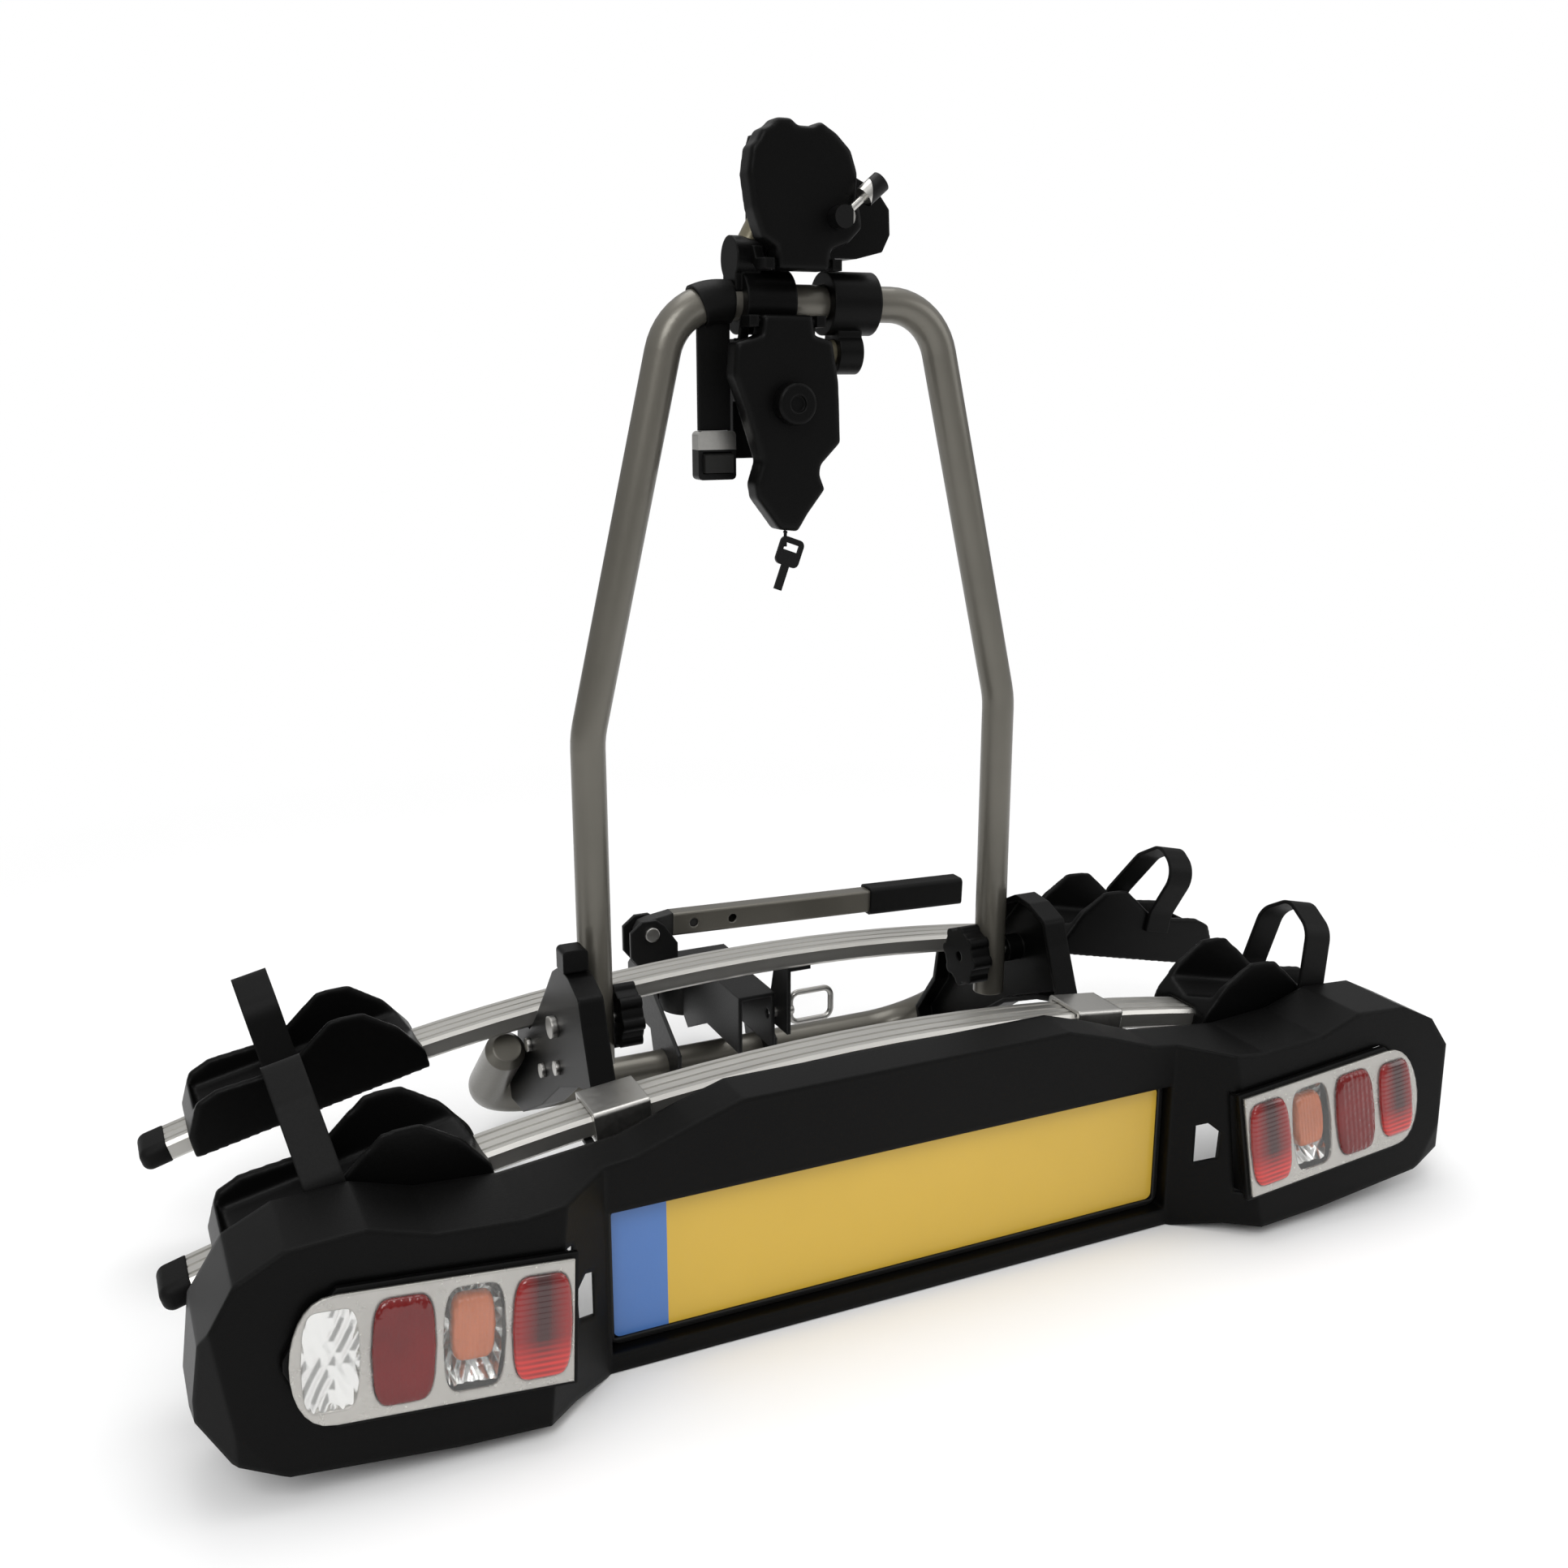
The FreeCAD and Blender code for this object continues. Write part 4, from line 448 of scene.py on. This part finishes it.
def barrel_loop(centre, wide, tall, count=40):
    """Points of a barrel outline, bowed at its sides and softly squared at its corners."""
    squareness, side_bow = 0.32, 0.17
    points = []
    for step in range(count):
        turn = 2 * math.pi * step / count
        cos, sin = math.cos(turn), math.sin(turn)
        x = math.copysign(abs(cos) ** squareness, cos)
        z = math.copysign(abs(sin) ** squareness, sin)
        bow = 1 - side_bow * z * z
        points.append((centre + x * wide * bow, z * tall))
    return points


def lamp_outline(inset, count=14):
    """Outer edge of a lamp face with a square inner end and a bowed outer end."""
    left, right, top = -LAMP_HALF + inset, LAMP_HALF - inset, LAMP_TOP - inset
    points = [(left, -top)]
    for step in range(count + 1):
        turn = math.pi * (step / count - 0.5)
        reach = max(0.0, math.cos(turn)) ** 0.8
        points.append((ROUND_FROM + (right - ROUND_FROM) * reach, top * math.sin(turn)))
    return [*points, (left, top)]


def lamp_windows():
    """Openings of the four cells."""
    return [*(barrel_loop(centre, *WINDOW) for centre in CELLS[:3]), barrel_loop(END_CELL, *END_WINDOW)]


def new_piece(name, work, material, body, place):
    mesh = bpy.data.meshes.new(name)
    bmesh.ops.recalc_face_normals(work, faces=work.faces)
    work.to_mesh(mesh)
    work.free()
    mesh.materials.append(material)
    piece = bpy.data.objects.new(name, mesh)
    scene.collection.objects.link(piece)
    piece.matrix_world = place
    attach(piece, body)
    SHOWN[name] = piece
    return piece


def plate_with_windows(outline, windows, front, back):
    """A flat plate between two depths with openings through it."""
    work = bmesh.new()
    edges = []
    for loop in [outline, *windows]:
        ring = [work.verts.new((x, front, z)) for x, z in loop]
        edges += [work.edges.new((ring[i], ring[(i + 1) % len(ring)])) for i in range(len(ring))]
    bmesh.ops.triangle_fill(work, use_beauty=True, use_dissolve=False, edges=edges)
    raised = bmesh.ops.extrude_face_region(work, geom=work.faces[:])
    moved = [item for item in raised["geom"] if isinstance(item, bmesh.types.BMVert)]
    bmesh.ops.translate(work, verts=moved, vec=(0, back - front, 0))
    return work


def bowl(centre, wide, tall, rim, deep, steps=9):
    """A faceted reflector behind one cell, its rim towards the lens and its facets jogged in and out."""
    facet = 0.0011
    work = bmesh.new()
    grid = []
    for row in range(steps + 1):
        line = []
        for column in range(steps + 1):
            u = 2 * column / steps - 1
            v = 2 * row / steps - 1
            dip = max(0.0, 1 - 0.55 * u * u - 0.55 * v * v)
            jog = facet if (row + column) % 2 else -facet
            x, z = u * wide * (1 - 0.3 * v * v), v * tall * (1 - 0.12 * u * u)
            line.append(work.verts.new((centre + x, rim + (deep - rim) * dip + jog, z)))
        grid.append(line)
    for row in range(steps):
        for column in range(steps):
            near, far = grid[row], grid[row + 1]
            work.faces.new((near[column], near[column + 1], far[column + 1], far[column]))
    bmesh.ops.triangulate(work, faces=work.faces[:])
    return work


def dome(centre, wide, tall, front, rise, rings=6):
    """A barrel cell with a rounded front that narrows as it rises, and a straight foot."""
    foot, narrowing = 0.0012, 0.22
    outline = barrel_loop(centre, wide, tall)
    work = bmesh.new()
    loops = []
    for step in range(rings + 1):
        part = step / rings
        scale = 1 - narrowing * part ** 2
        depth = front - rise * math.sin(part * math.pi / 2)
        loops.append([
            work.verts.new((centre + (x - centre) * scale, depth, z * scale)) for x, z in outline
        ])
    base = [work.verts.new((x, front + foot, z)) for x, z in outline]
    loops.insert(0, base)
    for low, high in zip(loops, loops[1:]):
        for i in range(len(low)):
            j = (i + 1) % len(low)
            work.faces.new((low[i], low[j], high[j], high[i]))
    work.faces.new(loops[-1])
    work.faces.new(list(reversed(base)))
    return work


def join(parts):
    """Several mesh builds as one."""
    whole = bmesh.new()
    for part in parts:
        copy = bpy.data.meshes.new("part")
        part.to_mesh(copy)
        part.free()
        whole.from_mesh(copy)
        bpy.data.meshes.remove(copy)
    return whole


def ribbed_red(name, centre):
    """Red cell whose colour carries a painted reflection: dark in its middle, brighter to its sides, and
    brightest in horizontal flutes towards its lower edge.
    """
    dark_from, dark_to = 0.003, 0.017
    reflection_from, reflection_to = -0.008, -0.026
    made = Nodes(name)
    split = made.add("ShaderNodeSeparateXYZ")
    made.link(made.coords.outputs["Object"], split.inputs["Vector"])
    shift = made.add("ShaderNodeMath", operation="SUBTRACT")
    shift.inputs[1].default_value = centre
    made.link(split.outputs["X"], shift.inputs[0])
    away = made.add("ShaderNodeMath", operation="ABSOLUTE")
    made.link(shift.outputs["Value"], away.inputs[0])
    side = made.add("ShaderNodeMapRange")
    side.inputs["From Min"].default_value = dark_from
    side.inputs["From Max"].default_value = dark_to
    made.link(away.outputs["Value"], side.inputs["Value"])
    fall = made.add("ShaderNodeMapRange")
    fall.inputs["From Min"].default_value = reflection_from
    fall.inputs["From Max"].default_value = reflection_to
    made.link(split.outputs["Z"], fall.inputs["Value"])
    flutes = made.add("ShaderNodeTexWave", wave_type="BANDS", bands_direction="Z")
    flutes.inputs["Scale"].default_value = 75
    made.link(made.coords.outputs["Object"], flutes.inputs["Vector"])
    # painted reflection: bright fluted red fading in towards the lower edge
    painted_reflection = made.add("ShaderNodeMath", operation="MULTIPLY")
    made.link(fall.outputs["Result"], painted_reflection.inputs[0])
    made.link(made.span(flutes.outputs["Fac"], 0.35, 1.0), painted_reflection.inputs[1])
    # painted reflection: darker red in the cell's middle, brighter to its sides
    body = made.mix(side.outputs["Result"], (0.035, 0.001, 0.001), (0.24, 0.004, 0.004))
    made.link(made.mix(painted_reflection.outputs["Value"], body, LOW_PAINTED_REFLECTION), made.shader.inputs["Base Color"])
    made.bump(flutes.outputs["Fac"], 0.3, 0.0008)
    made.set(Roughness=0.08, Coat_Weight=0.7)
    return made.material


def make_lamp_pieces():
    plain = NODES["lamp_red_left"].data.materials[0]
    clear = NODES["lamp_lens_left"].data.materials[0]
    amber = lens_material("lens_amber", (0.62, 0.12, 0.004), 90)
    for side, sign in SIDES.items():
        place = lamp_frame(sign)
        flip = Matrix.Scale(sign, 4, (1, 0, 0))

        def finish(name, work, material):
            bmesh.ops.transform(work, matrix=flip, verts=work.verts)
            piece = new_piece(name, work, material, "platform", place)
            return piece

        face = plate_with_windows(lamp_outline(0.0), lamp_windows(), *FRAME_DEPTHS)
        finish(f"lamp_frame_{side}", face, MATS["frame"])
        bowls = [bowl(centre, *BOWL) for centre in CELLS[:3]]
        bowls.append(bowl(END_CELL, *END_BOWL))
        reflector = finish(f"lamp_reflector_{side}", join(bowls), MATS["chrome"])
        FACETED.append(reflector)
        sheet = plate_with_windows(lamp_outline(COVER_INSET), [], *COVER_DEPTHS)
        cover = finish(f"lamp_cover_{side}", sheet, clear)
        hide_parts(f"lamp_lens_{side}")
        for index in RED_CELLS[side]:
            red = plain
            if (side, index) in RIBBED_CELLS:
                red = ribbed_red(f"red_{side}_{index}", sign * CELLS[index])
            shape = (END_CELL, *RED_END_SHAPE) if index == 3 else (CELLS[index], *RED_SHAPE)
            cell = finish(f"red_cell_{side}_{index}", dome(*shape, RED_FRONT, RED_RISE), red)
            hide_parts(f"lamp_red_{side}")
        glass = dome(*AMBER_SHAPE)
        bmesh.ops.translate(glass, verts=glass.verts, vec=AMBER_SHIFT)
        finish(f"amber_insert_{side}", glass, amber)


def smooth_all():
    for piece in [*NODES.values(), *SHOWN.values()]:
        if piece in FACETED:
            continue
        mesh = piece.data
        mesh.polygons.foreach_set("use_smooth", [True] * len(mesh.polygons))
        mesh.set_sharp_from_angle(angle=math.radians(SMOOTH_BELOW))


def add_node(tree, kind, inputs=None, **settings):
    node = tree.nodes.new(kind)
    for key, value in settings.items():
        setattr(node, key, value)
    for key, value in (inputs or {}).items():
        node.inputs[key].default_value = value
    return node


def make_floor():
    """White floor under the part that takes its shadow, and fades to plain white for the camera."""
    floor_z = cad_box[0][2] - FLOOR_DROP
    corners = [(x * FLOOR_HALF, y * FLOOR_HALF, floor_z) for x, y in ((-1, -1), (1, -1), (1, 1), (-1, 1))]
    mesh = bpy.data.meshes.new("floor")
    mesh.from_pydata(corners, [], [(0, 1, 2, 3)])
    floor = bpy.data.objects.new("floor", mesh)
    scene.collection.objects.link(floor)
    material = bpy.data.materials.new("floor")
    material.use_nodes = True
    tree = material.node_tree
    paper = tree.nodes["Principled BSDF"]
    paper.inputs["Base Color"].default_value = (0.95, 0.95, 0.95, 1)
    paper.inputs["Roughness"].default_value = 0.9
    paper.inputs["Specular IOR Level"].default_value = 0.1
    white = add_node(tree, "ShaderNodeEmission")
    place = add_node(tree, "ShaderNodeTexCoord")
    reach = add_node(tree, "ShaderNodeVectorMath", operation="LENGTH")
    tree.links.new(place.outputs["Object"], reach.inputs[0])
    span = {"From Min": FLOOR_FADE[0], "From Max": FLOOR_FADE[1]}
    fade = add_node(tree, "ShaderNodeMapRange", span)
    tree.links.new(reach.outputs["Value"], fade.inputs["Value"])
    path = add_node(tree, "ShaderNodeLightPath")
    seen = add_node(tree, "ShaderNodeMath", operation="MULTIPLY")
    tree.links.new(path.outputs["Is Camera Ray"], seen.inputs[0])
    tree.links.new(fade.outputs["Result"], seen.inputs[1])
    both = add_node(tree, "ShaderNodeMixShader")
    tree.links.new(seen.outputs["Value"], both.inputs["Fac"])
    tree.links.new(paper.outputs["BSDF"], both.inputs[1])
    tree.links.new(white.outputs["Emission"], both.inputs[2])
    tree.links.new(both.outputs["Shader"], tree.nodes["Material Output"].inputs["Surface"])
    mesh.materials.append(material)


def make_world():
    """White background for the camera, and a soft sky that lights the part more from above."""
    world = bpy.data.worlds.new("studio")
    scene.world = world
    world.use_nodes = True
    tree = world.node_tree
    light = tree.nodes["Background"]
    light.inputs["Color"].default_value = (1, 1, 1, 1)
    sky = add_node(tree, "ShaderNodeTexCoord")
    height = add_node(tree, "ShaderNodeSeparateXYZ")
    tree.links.new(sky.outputs["Generated"], height.inputs["Vector"])
    span = dict(zip(("From Min", "From Max", "To Min", "To Max"), WORLD_SPAN))
    strength = add_node(tree, "ShaderNodeMapRange", span)
    tree.links.new(height.outputs["Z"], strength.inputs["Value"])
    tree.links.new(strength.outputs["Result"], light.inputs["Strength"])
    white = add_node(tree, "ShaderNodeBackground", {"Color": (1, 1, 1, 1)})
    path = add_node(tree, "ShaderNodeLightPath")
    both = add_node(tree, "ShaderNodeMixShader")
    tree.links.new(path.outputs["Is Camera Ray"], both.inputs["Fac"])
    tree.links.new(light.outputs["Background"], both.inputs[1])
    tree.links.new(white.outputs["Background"], both.inputs[2])
    tree.links.new(both.outputs["Shader"], tree.nodes["World Output"].inputs["Surface"])


def make_lights():
    """Area lights: name, place, aim, size and power."""
    lamps = (
        ("key", (-1.6, -2.6, 2.6), (0, -0.3, 0.2), 1.6, 42),
        ("fill", (2.6, -1.8, 1.6), (0, -0.3, 0.2), 1.8, 16),
        ("top", (0.2, 0.2, 3.2), (0, -0.3, 0.1), 2.2, 36),
    )
    for name, at, aim, size, power in lamps:
        data = bpy.data.lights.new(name, "AREA")
        data.size = size
        data.energy = power
        lamp = bpy.data.objects.new(name, data)
        lamp.location = at
        lamp.rotation_euler = (Vector(aim) - Vector(at)).to_track_quat("-Z", "Y").to_euler()
        scene.collection.objects.link(lamp)


def make_camera():
    data = bpy.data.cameras.new("camera")
    data.sensor_width = 36
    data.lens = CAMERA_LENS
    data.clip_start = 0.05
    data.clip_end = 60
    camera = bpy.data.objects.new("camera", data)
    camera.location = CAMERA_PLACE
    camera.rotation_euler = (math.radians(90 - CAMERA_PITCH), 0, math.radians(-CAMERA_YAW))
    scene.collection.objects.link(camera)
    scene.camera = camera
    scene.view_settings.view_transform = "Standard"


make_floor()
make_world()
make_lights()
make_camera()
dress_all()
soften_all()
make_lamp_pieces()
smooth_all()
